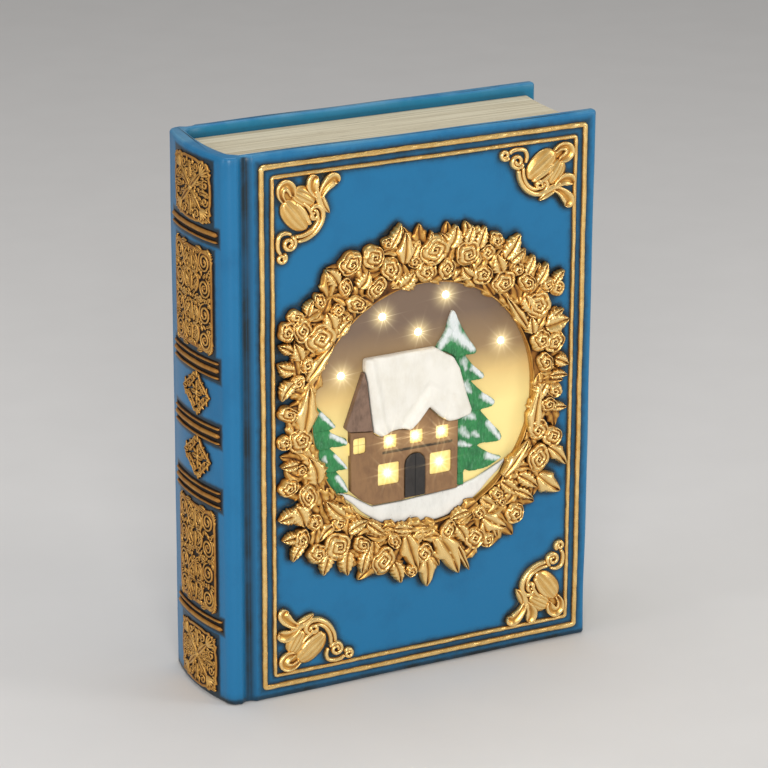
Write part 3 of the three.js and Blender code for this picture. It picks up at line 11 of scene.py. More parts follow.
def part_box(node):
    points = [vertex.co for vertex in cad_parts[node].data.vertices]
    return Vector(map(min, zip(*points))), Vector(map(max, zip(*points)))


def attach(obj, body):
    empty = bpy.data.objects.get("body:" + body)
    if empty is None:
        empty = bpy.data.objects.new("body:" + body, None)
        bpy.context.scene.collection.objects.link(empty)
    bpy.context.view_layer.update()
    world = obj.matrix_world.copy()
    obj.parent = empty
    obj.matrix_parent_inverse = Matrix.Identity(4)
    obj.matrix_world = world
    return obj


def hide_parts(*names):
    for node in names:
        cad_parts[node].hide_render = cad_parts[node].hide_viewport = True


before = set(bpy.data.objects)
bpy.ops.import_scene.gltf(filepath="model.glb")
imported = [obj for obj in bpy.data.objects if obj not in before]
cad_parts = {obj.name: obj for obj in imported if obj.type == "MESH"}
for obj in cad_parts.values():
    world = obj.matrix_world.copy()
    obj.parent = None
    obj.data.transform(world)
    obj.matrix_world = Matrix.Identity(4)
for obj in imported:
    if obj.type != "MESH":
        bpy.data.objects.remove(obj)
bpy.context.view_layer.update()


# Book case. One hollow resin casting of both boards and the rounded spine, from a rubber mould, so its
# edges are soft and a little wavy. It is sprayed blue and worn paler on its edges. Its colour is darkened
# in the groove, in corners, round the reliefs and along the gold lines by a dark wash and by painted shade,
# and the wall of the window hole is painted warm gold as painted light.
book_height = 245.0
fore_edge_x = 91.25
crown_x = -89.75
middle_y = 2.75
board_half = 28.5
board_inner = 24.0
front_y = middle_y - board_half
back_y = middle_y + board_half
spine_arc_half = 23.3
spine_round = 3.0
spine_wall = 6.5
shoulder_depth = 4.7
shoulder_width = 5.2
board_edge_radius = 1.5
groove_x = -77.05
groove_width = 4.2
groove_depth = 1.6
groove_ridge = 0.45
groove_bead = 0.45
flat_step = 4.0
crown_steps = 22
groove_steps = 16
case_rows = 96
end_radius = 1.1
case_wave = 0.16
edge_wave = 0.5
case_wave_length = 34.0
edge_wave_length = 42.0
window_x = 6.95
window_z = 125.3
window_unit = 1.67028
window_radius = 32 * window_unit
hole_radius = window_radius + 1
hole_drop = 2.6
panel_radius = window_radius + 6.5
panel_y = front_y + 2.5
box_z = 82.0
seat_half_width = 38.6
seat_foot = -32.4
seat_top = 42.3
seat_depth = 2.9
tray_half_width = 30.6
tray_foot = -24.4
tray_top = 34.3
tray_depth = 8
well_y = front_y + 8
fit_gap = 0.3
cut_past = 2
window_sides = 96
worn_reach = 1.6
blue_paint = (0.008, 0.158, 0.350, 1)
deep_blue = (0.006, 0.132, 0.300, 1)
inside_teal = (0.004, 0.168, 0.310, 1)
pale_blue = (0.100, 0.290, 0.450, 1)
# The dark of the wash and of the painted shade.
dark_wash_and_shade = (0.006, 0.014, 0.018, 1)
# Painted light on the wall of the window hole.
window_wall_glow_gold = (0.460, 0.240, 0.050, 1)
# One millimetre, in the metres of the frame.
mm = 0.001


class Signal:
    """An output of a shader node that can be reckoned with like a number."""

    def __init__(self, socket):
        self.socket, self.tree = socket, socket.id_data

    def __add__(self, other):
        return reckoned("ADD", self, other)

    def __sub__(self, other):
        return reckoned("SUBTRACT", self, other)

    def __rsub__(self, other):
        return reckoned("SUBTRACT", other, self)

    def __mul__(self, other):
        return reckoned("MULTIPLY", self, other)

    def __truediv__(self, other):
        return reckoned("DIVIDE", self, other)

    def __pow__(self, other):
        return reckoned("POWER", self, other)

    def __abs__(self):
        return reckoned("ABSOLUTE", self)

    __radd__ = __add__
    __rmul__ = __mul__


def feed(node, feeds):
    """Gives a node's named or numbered inputs their values, or the signals that drive them."""
    for name, value in feeds.items():
        if isinstance(value, Signal):
            value.tree.links.new(value.socket, node.inputs[name])
        else:
            node.inputs[name].default_value = value


def signal(tree, kind, feeds=None, output=0, **settings):
    """The output of a new shader node with these inputs and settings."""
    made = tree.nodes.new(kind)
    for name, value in settings.items():
        setattr(made, name, value)
    feed(made, feeds or {})
    return Signal(made.outputs[output])


def reckoned(operation, *terms):
    """The result of a Math node on signals and numbers."""
    tree = next(term.tree for term in terms if isinstance(term, Signal))
    return signal(tree, "ShaderNodeMath", dict(enumerate(terms)), operation=operation)


def most(first, second):
    return reckoned("MAXIMUM", first, second)


def least(first, second):
    return reckoned("MINIMUM", first, second)


def object_place(tree):
    """The place on the piece, in metres."""
    return signal(tree, "ShaderNodeTexCoord", output="Object")


def parts_of(place):
    """The three parts of a place or a direction."""
    first = signal(place.tree, "ShaderNodeSeparateXYZ", {0: place})
    return [Signal(socket) for socket in first.socket.node.outputs]


def noise_of(place, scale, detail=2.0, roughness=0.5):
    """Cloudy noise from 0 to 1 at so many turns per metre."""
    feeds = {"Vector": place, "Scale": scale, "Detail": detail, "Roughness": roughness}
    return signal(place.tree, "ShaderNodeTexNoise", feeds)


def stretched(place, *scale):
    """The place with its three parts drawn out by these scales."""
    return signal(place.tree, "ShaderNodeMapping", {"Scale": scale, "Vector": place})


def ramp_of(share, *stops):
    """A colour or grey that runs through the stops, each a place and a colour, as the share rises."""
    made = signal(share.tree, "ShaderNodeValToRGB", {0: share})
    elements = made.socket.node.color_ramp.elements
    while len(elements) < len(stops):
        elements.new(0.5)
    for element, (place, colour) in zip(elements, stops):
        element.position = place
        element.color = colour if isinstance(colour, tuple) else (colour, colour, colour, 1)
    return made


def blend_of(share, first, second):
    """A colour between the first and the second."""
    return signal(share.tree, "ShaderNodeMix", {0: share, 6: first, 7: second}, 2, data_type="RGBA")


def new_effect(name, inputs, outputs):
    """An empty shader node group with these number inputs, given as signals, and these outputs."""
    group = bpy.data.node_groups.new(name, "ShaderNodeTree")
    for socket, value in inputs.items():
        made = group.interface.new_socket(socket, in_out="INPUT", socket_type="NodeSocketFloat")
        made.default_value = value
    for socket in outputs:
        group.interface.new_socket(socket, in_out="OUTPUT", socket_type="NodeSocketFloat")
    given = group.nodes.new("NodeGroupInput")
    return group, [Signal(given.outputs[socket]) for socket in inputs], group.nodes.new("NodeGroupOutput")


def hand_cast_effect():
    """Soft lumps from the mould and the fine tooth of sprayed paint, with blotches where paint pooled."""
    sizes = {"Lump size": 60.0, "Tooth size": 900.0}
    group, (lump_size, tooth_size), result = new_effect("hand_cast", sizes, ["Height", "Blotch"])
    place = object_place(group)
    height = noise_of(place, lump_size, 3) + 0.25 * noise_of(place, tooth_size)
    feed(result, {"Height": height, "Blotch": noise_of(place, 38.0, 5, 0.62)})
    return group


def beside_block_effect():
    """How near a point is to an upright rectangle: Line is 1 on its outline, Block is 1 inside it too."""
    sizes = {"Across": 0.0, "Upward": 0.0, "Middle across": 0.0, "Middle up": 0.0,
             "Half width": 0.07, "Half height": 0.11, "Reach": 0.002}
    group, given, result = new_effect("beside_block", sizes, ["Line", "Block"])
    across, upward, middle_across, middle_up, half_width, half_height, reach = given
    away = most(abs(across - middle_across) - half_width, abs(upward - middle_up) - half_height)
    line, block = (most(1.0 - gap / reach, 0.0) for gap in (abs(away), most(away, 0.0)))
    feed(result, {"Line": line, "Block": block})
    return group


hand_cast = hand_cast_effect()
beside_block = beside_block_effect()


def set_shader(shader, **sockets):
    """Gives a shader's sockets their values, or the signals that drive them."""
    feed(shader, {socket.replace("_", " "): value for socket, value in sockets.items()})


def new_finish(name, **sockets):
    """A material, its Principled shader with these sockets, and the place on the piece."""
    material = bpy.data.materials.new(name)
    material.use_nodes = True
    shader = material.node_tree.nodes["Principled BSDF"]
    set_shader(shader, **sockets)
    return material, shader, object_place(material.node_tree)


def effect_of(shader, group, output, feeds=None):
    """What one of the shared effects gives here."""
    return signal(shader.id_data, "ShaderNodeGroup", feeds, output, node_tree=group)


def own_value(shader, name):
    """What the form's own corners say under this name."""
    return signal(shader.id_data, "ShaderNodeAttribute", output="Fac", attribute_name=name)


def add_relief(shader, height, depth_mm):
    """Lets a height pattern of this depth stand out of the surface."""
    feeds = {"Height": height, "Strength": 1.0, "Distance": depth_mm * mm}
    set_shader(shader, Normal=signal(height.tree, "ShaderNodeBump", feeds))


def shade_in_crevices(shader, reach_mm):
    """1 in corners and beside reliefs, where shade falls, 0 in the open; the finishes darken by it as painted shade.
    """
    reach = {"Distance": reach_mm * mm}
    return 1.0 - signal(shader.id_data, "ShaderNodeAmbientOcclusion", reach, "AO", samples=10)


def middle_and_half(node):
    """The middle of a CAD node's box and half its size, in metres."""
    low, high = (Vector(corner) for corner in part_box(node))
    return (low + high) / 2, (high - low) / 2


def near_round(place, x_mm, z_mm, reach_mm):
    """1 at a point of the front, fading to 0 at the reach."""
    x, _, z = parts_of(place)
    distance = ((x - x_mm * mm) ** 2.0 + (z - z_mm * mm) ** 2.0) ** 0.5
    return most(1.0 - distance / (reach_mm * mm), 0.0)


def wash_and_shade_along_lines(shader, place, ragged):
    """How much dark wash and painted shade lie beside the two gold lines."""
    x, _, z = parts_of(place)
    inset = line_width / 2 * mm
    nearest = 0.0
    for node, reach in (("outer_gold_line", 0.0046), ("inner_gold_line", 0.0030)):
        middle, half = middle_and_half(node)
        sizes = {0: x, 1: z, 2: middle.x, 3: middle.z, 4: half.x - inset, 5: half.z - inset, 6: reach}
        nearest = most(nearest, effect_of(shader, beside_block, "Line", sizes))
    return ramp_of(nearest + ragged * 0.5, (0.16, 0.0), (0.72, 0.85))


def wash_and_shade_on_spine(shader, place, ragged):
    """How much dark wash and painted shade lie round the spine's ornaments: in blocks, and in diamonds round the
    lozenges.
    """
    _, y, z = parts_of(place)
    nearest = 0.0
    for node, front_share in spine_front_shares.items():
        middle, half = middle_and_half(node)
        centre_y, half_y = middle.y + (1 - front_share) / 2 * half.y, (1 + front_share) / 2 * half.y
        if "lozenge" in node:
            away = abs(y - centre_y) / half_y + abs(z - (middle.z + mm)) / (1.13 * half.z)
            near = ramp_of(away, (0.80, 1.0), (1.12, 0.0))
        else:
            sizes = {0: y, 1: z, 2: centre_y, 3: middle.z, 4: half_y, 5: half.z, 6: 0.0024}
            near = effect_of(shader, beside_block, "Block", sizes)
        nearest = most(nearest, near)
    return ramp_of(nearest + ragged * 0.5, (0.25, 0.0), (0.80, 0.92))


def blue_case_finish():
    material, shader, place = new_finish(
        "blue_case_paint", Roughness=0.40, Specular_IOR_Level=0.3, Coat_Weight=0.16, Coat_Roughness=0.2)
    x, y, _ = parts_of(place)
    normal_x, normal_y, _ = parts_of(signal(place.tree, "ShaderNodeNewGeometry", output="Normal"))
    behind = ramp_of(y * 20.0, (0.35, 0.0), (0.45, 1.0))
    facing_front = ramp_of(normal_y * -1.0, (0.7, 0.0), (0.9, 1.0))
    on_spine = ramp_of(normal_x * -1.0, (0.3, 0.0), (0.6, 1.0))
    inside = behind * facing_front
    front = facing_front * (1.0 - behind)
    blotch = effect_of(shader, hand_cast, "Blotch")
    ragged = (noise_of(place, 260.0, 5, 0.7) - 0.5) * 0.9
    # Painted shade with the dark wash: darker in corners and beside reliefs, found by ambient occlusion.
    tight_wash_and_shade = ramp_of(shade_in_crevices(shader, 3.5) + ragged * 0.22, (0.05, 0.0), (0.18, 1.0))
    wide_wash_and_shade = ramp_of(shade_in_crevices(shader, 8.0) + ragged * 0.2, (0.10, 0.0), (0.55, 0.65))
    corner_wash_and_shade = most(tight_wash_and_shade, wide_wash_and_shade) * (1.0 - inside * 0.6)
    # Painted shade in the groove, left a little lighter on its middle ridge as a painted highlight.
    from_groove = abs(x - (groove_x + 0.7) * mm) * 300.0
    groove_wash_and_shade = ramp_of(from_groove, (0.03, 0.80), (0.14, 1.0), (0.36, 0.95), (0.95, 0.0))
    front_wash_and_shade = most(wash_and_shade_along_lines(shader, place, ragged), groove_wash_and_shade) * front
    smear = ramp_of(blotch, (0.32, 0.65), (0.58, 1.0))
    # All the darkening below is dark wash and painted shade together.
    wash = most(most(front_wash_and_shade, corner_wash_and_shade) * smear, wash_and_shade_on_spine(shader, place, ragged) * on_spine)
    worn = own_value(shader, "edge_wear") * ramp_of(blotch, (0.4, 0.15), (0.6, 0.85))
    body = ramp_of(blotch, (0.25, deep_blue), (0.5, blue_paint), (0.9, blue_paint))
    painted = blend_of(worn, blend_of(inside, body, inside_teal), pale_blue)
    painted = blend_of(wash, painted, dark_wash_and_shade)
    # Painted light: the wall of the window hole is painted warm gold, as if lit by the scene and the gilt rim.
    hole_heights = (window_z, window_z - hole_drop)
    near_hole = most(*(near_round(place, window_x, height, hole_radius + 0.35) for height in hole_heights))
    window_wall_glow = ramp_of(near_hole, (0.0, 0.0), (0.003, 1.0)) * (1.0 - behind)
    set_shader(shader, Base_Color=blend_of(window_wall_glow, painted, window_wall_glow_gold))
    add_relief(shader, effect_of(shader, hand_cast, "Height"), 0.22)
    return material


def new_object(name, form):
    """An object of the scene made from a form, which is used up."""
    mesh = bpy.data.meshes.new(name)
    form.to_mesh(mesh)
    form.free()
    made = bpy.data.objects.new(name, mesh)
    bpy.context.scene.collection.objects.link(made)
    return made


def resize(form, factor):
    bmesh.ops.scale(form, vec=(factor, factor, factor), verts=form.verts)


def finished_piece(name, form, material, slot, *stands_for, body="book", sharp=None):
    """Turns a form in millimetres into a smooth piece that moves with a body of the frame."""
    resize(form, mm)
    piece = new_object(name, form)
    piece.data.shade_smooth()
    if sharp:
        piece.data.set_sharp_from_angle(angle=math.radians(sharp))
    piece.data.materials.append(material)
    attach(piece, body)
    if stands_for:
        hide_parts(*stands_for)


def wavy(place, length, depth):
    """A slow drift of a surface, never more than the depth."""
    return noise.noise(Vector(place) / length) * depth


def toward(angle):
    """The direction at this turn on a flat drawing."""
    return Vector((math.cos(angle), math.sin(angle), 0))


def left_of(run):
    """The direction to the left of a run on a flat drawing."""
    return Vector((-run.y, run.x, 0)).normalized()


def moved_grid(form, columns, rows, place):
    """A grid of faces whose corners are moved to place(i, j), for i up to columns and j up to rows."""
    verts = bmesh.ops.create_grid(form, x_segments=columns, y_segments=rows, size=0.5)["verts"]
    for vert in verts:
        vert.co = place(round((vert.co.x + 0.5) * columns), round((vert.co.y + 0.5) * rows))
    return verts


def form_of(blank):
    """The form that an object's modifiers give."""
    form = bmesh.new()
    form.from_mesh(blank.evaluated_get(bpy.context.evaluated_depsgraph_get()).to_mesh())
    return form


def cut_away(form, cutter, operation="DIFFERENCE"):
    """The form with the cutter taken out of it, both used up."""
    blanks = [new_object("blank", part) for part in (form, cutter)]
    saw = blanks[0].modifiers.new("saw", "BOOLEAN")
    saw.operation = operation
    saw.object = blanks[1]
    saw.solver = "EXACT"
    result = form_of(blanks[0])
    for blank in blanks:
        bpy.data.objects.remove(blank)
    return result


def weld(form, verts=None, distance=0.0004):
    """Joins corners that lie in one place."""
    bmesh.ops.remove_doubles(form, verts=verts or form.verts, dist=distance)


def spun(outline, steps):
    """A form turned round its upright axis from half its outline."""
    form = bmesh.new()
    spots = [form.verts.new((across, 0, up)) for across, up in outline]
    edges = [form.edges.new(pair) for pair in zip(spots, spots[1:])]
    bmesh.ops.spin(form, geom=spots + edges, angle=2 * math.pi, steps=steps, axis=(0, 0, 1), use_merge=True)
    weld(form, distance=0.0005)
    return form


def spine_face_x(y):
    """The spine's outer face at y from the middle of the book's thickness."""
    return crown_x + spine_round * (y / spine_arc_half) ** 2


def case_plan():
    """The case seen from above: outer side from the front fore-edge round the spine, then the inner side."""
    def turn(x, y, radius_x, radius_y, start, end, steps):
        angles = (math.radians(start + (end - start) * i / steps) for i in range(steps + 1))
        return [(x + radius_x * math.cos(angle), y + radius_y * math.sin(angle)) for angle in angles]

    def run(start, end, y, step):
        count = max(1, round(abs(end - start) / step))
        return [(start + (end - start) * i / count, y) for i in range(1, count)]

    edge_x = fore_edge_x - board_edge_radius
    edge = turn(edge_x, -board_half + board_edge_radius, board_edge_radius, board_edge_radius, 0, -90, 5)
    flat = run(edge_x, groove_x + groove_width, -board_half, flat_step)
    groove = []
    for i in range(groove_steps + 1):
        across = 2 * i / groove_steps - 1
        dip = groove_depth * math.exp(-((across * 1.9) ** 2))
        dip -= groove_ridge * math.exp(-(((abs(across) - 0.86) * 5) ** 2))
        dip -= groove_bead * math.exp(-((across * 7) ** 2))
        groove.append((groove_x - across * groove_width, -board_half + dip))
    shoulder_x = crown_x + spine_round + shoulder_depth
    shoulder = turn(shoulder_x, -spine_arc_half, shoulder_depth, shoulder_width, -90, -180, 8)
    front = edge + flat + groove + shoulder
    crown_places = (spine_arc_half * (2 * i / crown_steps - 1) for i in range(1, crown_steps))
    crown = [(spine_face_x(y), y) for y in crown_places]
    inner_arc = board_inner - 3
    inner_turn_x = spine_face_x(inner_arc) + spine_wall + 3
    inner_edge = turn(edge_x, -board_inner - board_edge_radius, board_edge_radius, board_edge_radius, 0, 90, 5)
    inner_front = inner_edge + run(edge_x, inner_turn_x, -board_inner, 2 * flat_step) + [(inner_turn_x, -board_inner)]
    inner_crown = [(spine_face_x(y) + spine_wall, y) for y in (inner_arc * (i / 5 - 1) for i in range(11))]
    inner = inner_front + inner_crown + [(x, -y) for x, y in reversed(inner_front)]
    outer = front + crown + [(x, -y) for x, y in reversed(front)]
    return [Vector((x, y, 0)) for x, y in outer + inner[::-1]]


def case_blank():
    plan = case_plan()
    count = len(plan)
    outward = []
    for i, point in enumerate(plan):
        along = plan[(i + 1) % count] - plan[i - 1]
        outward.append(Vector((-along.y, along.x, 0)).normalized())
    ends = [(0.0, end_radius), (0.3, 0.45), (end_radius, 0.0)]
    middle = [(end_radius + (book_height - 2 * end_radius) * i / case_rows, 0.0) for i in range(1, case_rows)]
    levels = ends + middle + [(book_height - z, inset) for z, inset in reversed(ends)]

    def place(i, j):
        z, inset = levels[j]
        point = plan[i % count] - outward[i % count] * inset
        point = point + outward[i % count] * wavy((point.x, point.y, z), case_wave_length, case_wave)
        toward_edge = max(0.0, (point.x - crown_x) / (fore_edge_x - crown_x)) ** 6
        from_middle = (z - book_height / 2) / (book_height / 2)
        point.x += toward_edge * wavy((7, point.y, z), edge_wave_length, edge_wave)
        lift = abs(from_middle) ** 6 * math.copysign(1, from_middle)
        lift *= wavy((point.x, point.y, 11), edge_wave_length, edge_wave)
        return Vector((point.x, point.y + middle_y, z + lift))

    form = bmesh.new()
    moved_grid(form, count, len(levels) - 1, place)
    weld(form, distance=0.0005)
    bmesh.ops.holes_fill(form, edges=[edge for edge in form.edges if edge.is_boundary], sides=0)
    bmesh.ops.recalc_face_normals(form, faces=form.faces)
    return form


def box_form(low, high):
    form = bmesh.new()
    bmesh.ops.create_cube(form, size=1)
    size = Vector(high) - Vector(low)
    bmesh.ops.scale(form, vec=size, verts=form.verts)
    bmesh.ops.translate(form, vec=(Vector(high) + Vector(low)) / 2, verts=form.verts)
    return form


def drum_form(x, z, radius, from_y, to_y, sides):
    """A round plug that lies along the book's thickness."""
    form = bmesh.new()
    bmesh.ops.create_cone(
        form, cap_ends=True, segments=sides, radius1=radius, radius2=radius, depth=to_y - from_y,
        matrix=Matrix.Translation((x, (from_y + to_y) / 2, z)) @ Matrix.Rotation(math.pi / 2, 4, "X"),
    )
    return form


line_width = 2.2
# The spine's ornaments are drawn narrower on the half towards the front, by these shares.
spine_front_shares = {
    "spine_panel_top": 0.94, "spine_panel_upper": 0.90, "spine_panel_lower": 0.90, "spine_panel_foot": 0.94,
    "spine_lozenge_upper": 0.72, "spine_lozenge_lower": 0.72,
}
spine_front_shares.update({"spine_band_%d" % number: 1.0 for number in range(1, 6)})
case_form = case_blank()
openings = [
    drum_form(window_x, window_z, hole_radius, front_y - cut_past, well_y, window_sides),
    drum_form(window_x, window_z - hole_drop, hole_radius, front_y - cut_past, well_y, window_sides),
    drum_form(window_x, window_z, panel_radius + fit_gap, panel_y - fit_gap, well_y, window_sides),
    box_form((-seat_half_width, back_y - seat_depth, box_z + seat_foot),
             (seat_half_width, back_y + cut_past, box_z + seat_top)),
    box_form((-tray_half_width, back_y - tray_depth, box_z + tray_foot),
             (tray_half_width, back_y + cut_past, box_z + tray_top)),
]
for opening in openings:
    case_form = cut_away(case_form, opening)
edge_wear = case_form.verts.layers.float.new("edge_wear")
for vert in case_form.verts:
    from_end = min(vert.co.z, book_height - vert.co.z)
    from_edge = fore_edge_x - vert.co.x
    vert[edge_wear] = max(0.0, 1 - min(from_end, from_edge) / worn_reach)
finished_piece("cast_book_case", case_form, blue_case_finish(), "blue", "book_case", sharp=50)


# Page block. A second cream casting between the boards, whose three bare sides are scored with the fine
# lines of page edges and flecked with brown wash that settled in the scores, and darkened with painted shade
# where they meet the boards.
page_cream = (0.69, 0.63, 0.47, 1)
page_shade = (0.47, 0.40, 0.26, 1)
page_brown = (0.16, 0.09, 0.035, 1)
page_lines_per_metre = 1300.0
page_drift_per_metre = 9.0


def page_finish():
    material, shader, place = new_finish("page_edges", Roughness=0.72)
    along = stretched(place, page_drift_per_metre, page_lines_per_metre, page_drift_per_metre)
    leaves = noise_of(along, 1.0, 4, 0.75)
    blots = noise_of(stretched(place, 90.0, 700.0, 90.0), 1.0, 4, 0.7)
    paper = blend_of(ramp_of(leaves, (0.40, 1.0), (0.53, 0.0)), page_cream, page_shade)
    flecks = ramp_of(blots, (0.62, 0.0), (0.74, 0.8)) * ramp_of(leaves, (0.35, 1.0), (0.6, 0.25))
    # Painted shade: darker where the pages meet the boards, found by ambient occlusion.
    edges = ramp_of(shade_in_crevices(shader, 6.0), (0.15, 0.0), (0.6, 0.75))
    stain_and_shade = most(flecks, edges * ramp_of(noise_of(place, 30.0, 3), (0.35, 0.4), (0.6, 1.0)))
    set_shader(shader, Base_Color=blend_of(stain_and_shade, paper, page_brown))
    add_relief(shader, leaves + blots * 0.5, 0.3)
    return material


def give(finish, *nodes):
    """Puts a finish on pieces that are shown as the frame has them."""
    for node in nodes:
        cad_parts[node].data.materials.clear()
        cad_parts[node].data.materials.append(finish)


give(page_finish(), "page_block")


# Gold lines. Two raised lines cast round the front board, one inside the other, drawn by hand in the
# mould master and so a little uneven. They are painted brown, then gilt with a nearly dry brush that
# leaves the brown in every hollow. The gold also carries painted shade in the hollows and a painted
# highlight on the rims.
line_height = 1.25
line_step = 1.3
line_corner_radius = 0.9
# Dark paint and painted shade left in the gold's hollows.
black_wash_and_shade = (0.014, 0.009, 0.006, 1)
umber_wash_and_shade = (0.085, 0.032, 0.007, 1)
gilt_brown = (0.190, 0.072, 0.014, 1)
gilt_orange = (0.430, 0.195, 0.040, 1)
gilt_gold = (0.700, 0.388, 0.094, 1)
# Rubbed gold and painted highlight on the rims.
gilt_rubbed_and_highlight = (0.970, 0.690, 0.285, 1)


def dry_brush_effect():
    """How much gold a dry brush leaves, with streaks and misses: most on raised places, which also stands for a
    painted highlight, least in hollows, which also stands for painted shade.
    """
    sizes = {"Raised": 0.5, "Hollow": 0.0, "Bias": 0.1}
    group, (raised, hollow, bias), result = new_effect("dry_brush_and_painted_light", sizes, ["Gold"])
    place = object_place(group)
    uneven = noise_of(place, 420.0, 5, 0.65) * 0.34 + noise_of(place, 95.0) * 0.3 - 0.32
    feed(result, {"Gold": least(most(raised + uneven + bias - hollow, 0.0), 1.0)})
    return group


dry_brush_and_painted_light = dry_brush_effect()


def gilt_finish(name, bias, shade_reach_mm, under=umber_wash_and_shade):
    """Gold brushed over a dark paint, darker in hollows as painted shade and palest on rims as a painted highlight.
    The bias says how much gold the piece was given.
    """
    material, shader, _ = new_finish(name, Specular_IOR_Level=0.2)
    # Painted shade: hollows found by ambient occlusion take less gold.
    hollow = ramp_of(shade_in_crevices(shader, shade_reach_mm), (0.22, 0.0), (0.82, 1.0)) * 0.8
    given = {"Raised": own_value(shader, "raised"), "Hollow": hollow, "Bias": bias}
    gold = effect_of(shader, dry_brush_and_painted_light, "Gold", given)
    # The dark end is the dark paint with painted shade, the pale end rubbed gold with a painted highlight.
    stops = ((0.0, under), (0.15, gilt_brown), (0.34, gilt_orange), (0.56, gilt_gold), (0.95, gilt_rubbed_and_highlight))
    set_shader(
        shader, Base_Color=ramp_of(gold, *stops), Metallic=ramp_of(gold, (0.15, 0.1), (0.5, 0.78)),
        Roughness=ramp_of(gold, (0.2, 0.5), (0.8, 0.27)),
    )
    add_relief(shader, effect_of(shader, hand_cast, "Height", {0: 320.0, 1: 2200.0}), 0.12)
    return material


def mark_raised(form, gain, full_rise, by_height=0.35):
    """Writes on each corner whether it stands above its neighbours and its board, 1, or in a hollow, 0."""
    # The gilt finishes turn this into a painted highlight on raised and high corners and painted shade on low ones.
    raised = form.verts.layers.float.new("raised")
    form.normal_update()
    for vert in form.verts:
        away = [vert.co - edge.other_vert(vert).co for edge in vert.link_edges]
        span = sum(step.length for step in away) or 1.0
        lift = by_height * (vert.co.z / full_rise - 0.55)
        vert[raised] = min(1.0, max(0.0, 0.5 + lift + gain * sum(step.dot(vert.normal) for step in away) / span))
    eased = {vert: sum(edge.other_vert(vert)[raised] for edge in vert.link_edges) / len(vert.link_edges)
             for vert in form.verts if vert.link_edges}
    for vert, around in eased.items():
        vert[raised] = 0.6 * vert[raised] + 0.4 * around


def strand(form, path, half_widths, half_heights, sides=8, closed=False):
    """A rounded bar along a path in the plane of its board, drawn to a point at both ends unless closed."""
    count = len(path)

    def place(i, j):
        point = path[i % count]
        before = path[(i - 1) % count] if closed else path[max(i - 1, 0)]
        after = path[(i + 1) % count] if closed else path[min(i + 1, count - 1)]
        along = after - before
        across = Vector((along.y, -along.x, 0)).normalized()
        angle = 2 * math.pi * j / sides
        out = Vector((0, 0, half_heights[i % count] * math.sin(angle)))
        return point + across * half_widths[i % count] * math.cos(angle) + out

    weld(form, moved_grid(form, count if closed else count - 1, sides, place))


def to_front(form, x=0.0, z=0.0, y=front_y):
    """Stands a form drawn flat, facing up, against the front board at this place."""
    upright = Matrix(((1, 0, 0, x), (0, 0, -1, y), (0, 1, 0, z), (0, 0, 0, 1)))
    bmesh.ops.transform(form, matrix=upright, verts=form.verts)
    bmesh.ops.recalc_face_normals(form, faces=form.faces)


def line_path(left, right, foot, top):
    """A closed run round an upright rectangle with small round corners."""
    path = []
    corners = ((right, foot, -90), (right, top, 0), (left, top, 90), (left, foot, 180))
    middle_x, middle_z = (left + right) / 2, (foot + top) / 2
    for x, z, start in corners:
        turn_x = x - math.copysign(line_corner_radius, x - middle_x)
        turn_z = z - math.copysign(line_corner_radius, z - middle_z)
        for step in range(4):
            angle = math.radians(start + 30 * step)
            point = (turn_x + line_corner_radius * math.cos(angle), turn_z + line_corner_radius * math.sin(angle))
            path.append(Vector((*point, 0)))
    full = []
    for i, point in enumerate(path):
        after = path[(i + 1) % len(path)]
        count = max(1, round((after - point).length / line_step))
        full += [point.lerp(after, step / count) for step in range(count)]
    return full


def gold_line(name, node, seed, breadth):
    middle, half = middle_and_half(node)
    edge = line_width / 2
    sides = [1000 * (middle.x - half.x) + edge, 1000 * (middle.x + half.x) - edge]
    ends = [1000 * (middle.z - half.z) + edge, 1000 * (middle.z + half.z) - edge]
    path = line_path(*sides, *ends)
    widths, heights = [], []
    for point in path:
        x, y = point.x, point.y
        ripple = wavy((x, y, seed + 20), 7, 0.14) + wavy((y, x, seed), 2.2, 0.11)
        widths.append(line_width / 2 * breadth * (1 + ripple))
        heights.append(line_height * (0.93 + wavy((x, y, seed + 30), 3.2, 0.25)))
        point += Vector((wavy((x, y, seed), 20, 0.2), wavy((y, x, seed + 9), 20, 0.2), 0))
    form = bmesh.new()
    strand(form, path, widths, heights, sides=12, closed=True)
    bmesh.ops.recalc_face_normals(form, faces=form.faces)
    mark_raised(form, 1.5, line_height)
    to_front(form)
    finished_piece(name, form, line_gilt, "gold", node)


line_gilt = gilt_finish("line_gilt", 0.10, 1.6)
gold_line("outer_gilt_line", "outer_gold_line", 3.0, 1.06)
gold_line("inner_gilt_line", "inner_gold_line", 17.0, 0.84)


# Corner ornaments. Four castings from one mould, each turned a quarter more than the last: a curled bud,
# two ribbed lobes and a hub, with a two-ridged stem that runs into a large and a small scroll, and three
# leaves at the top. They are glued to the board and gilt like the lines.
corner_rise = 2.6
corner_inset = 0.5
# Glued castings reach this far into the board behind them.
sunk = -0.15


def spiral_path(centre, start_radius, end_radius, start_turn, turns, steps, height=0.0):
    """A run that winds in towards its centre, with turns against the clock when they are positive."""
    path = []
    for i in range(steps + 1):
        share = i / steps
        reach = start_radius + (end_radius - start_radius) * share
        angle = 2 * math.pi * (start_turn + turns * share)
        path.append(Vector((centre[0] + reach * math.cos(angle), centre[1] + reach * math.sin(angle), height)))
    return path


def curve_path(places, steps, height=0.0):
    """A smooth run through the places."""
    spots = [Vector((*place, height)) for place in places]
    spots = [2 * spots[0] - spots[1]] + spots + [2 * spots[-1] - spots[-2]]
    path = []
    for before, start, end, after in zip(spots, spots[1:], spots[2:], spots[3:]):
        for i in range(steps):
            t = i / steps
            turn = (end - before) * t + (2 * before - 5 * start + 4 * end - after) * t * t
            path.append(0.5 * (2 * start + turn + (3 * start - before - 3 * end + after) * t ** 3))
    return path + [spots[-2]]


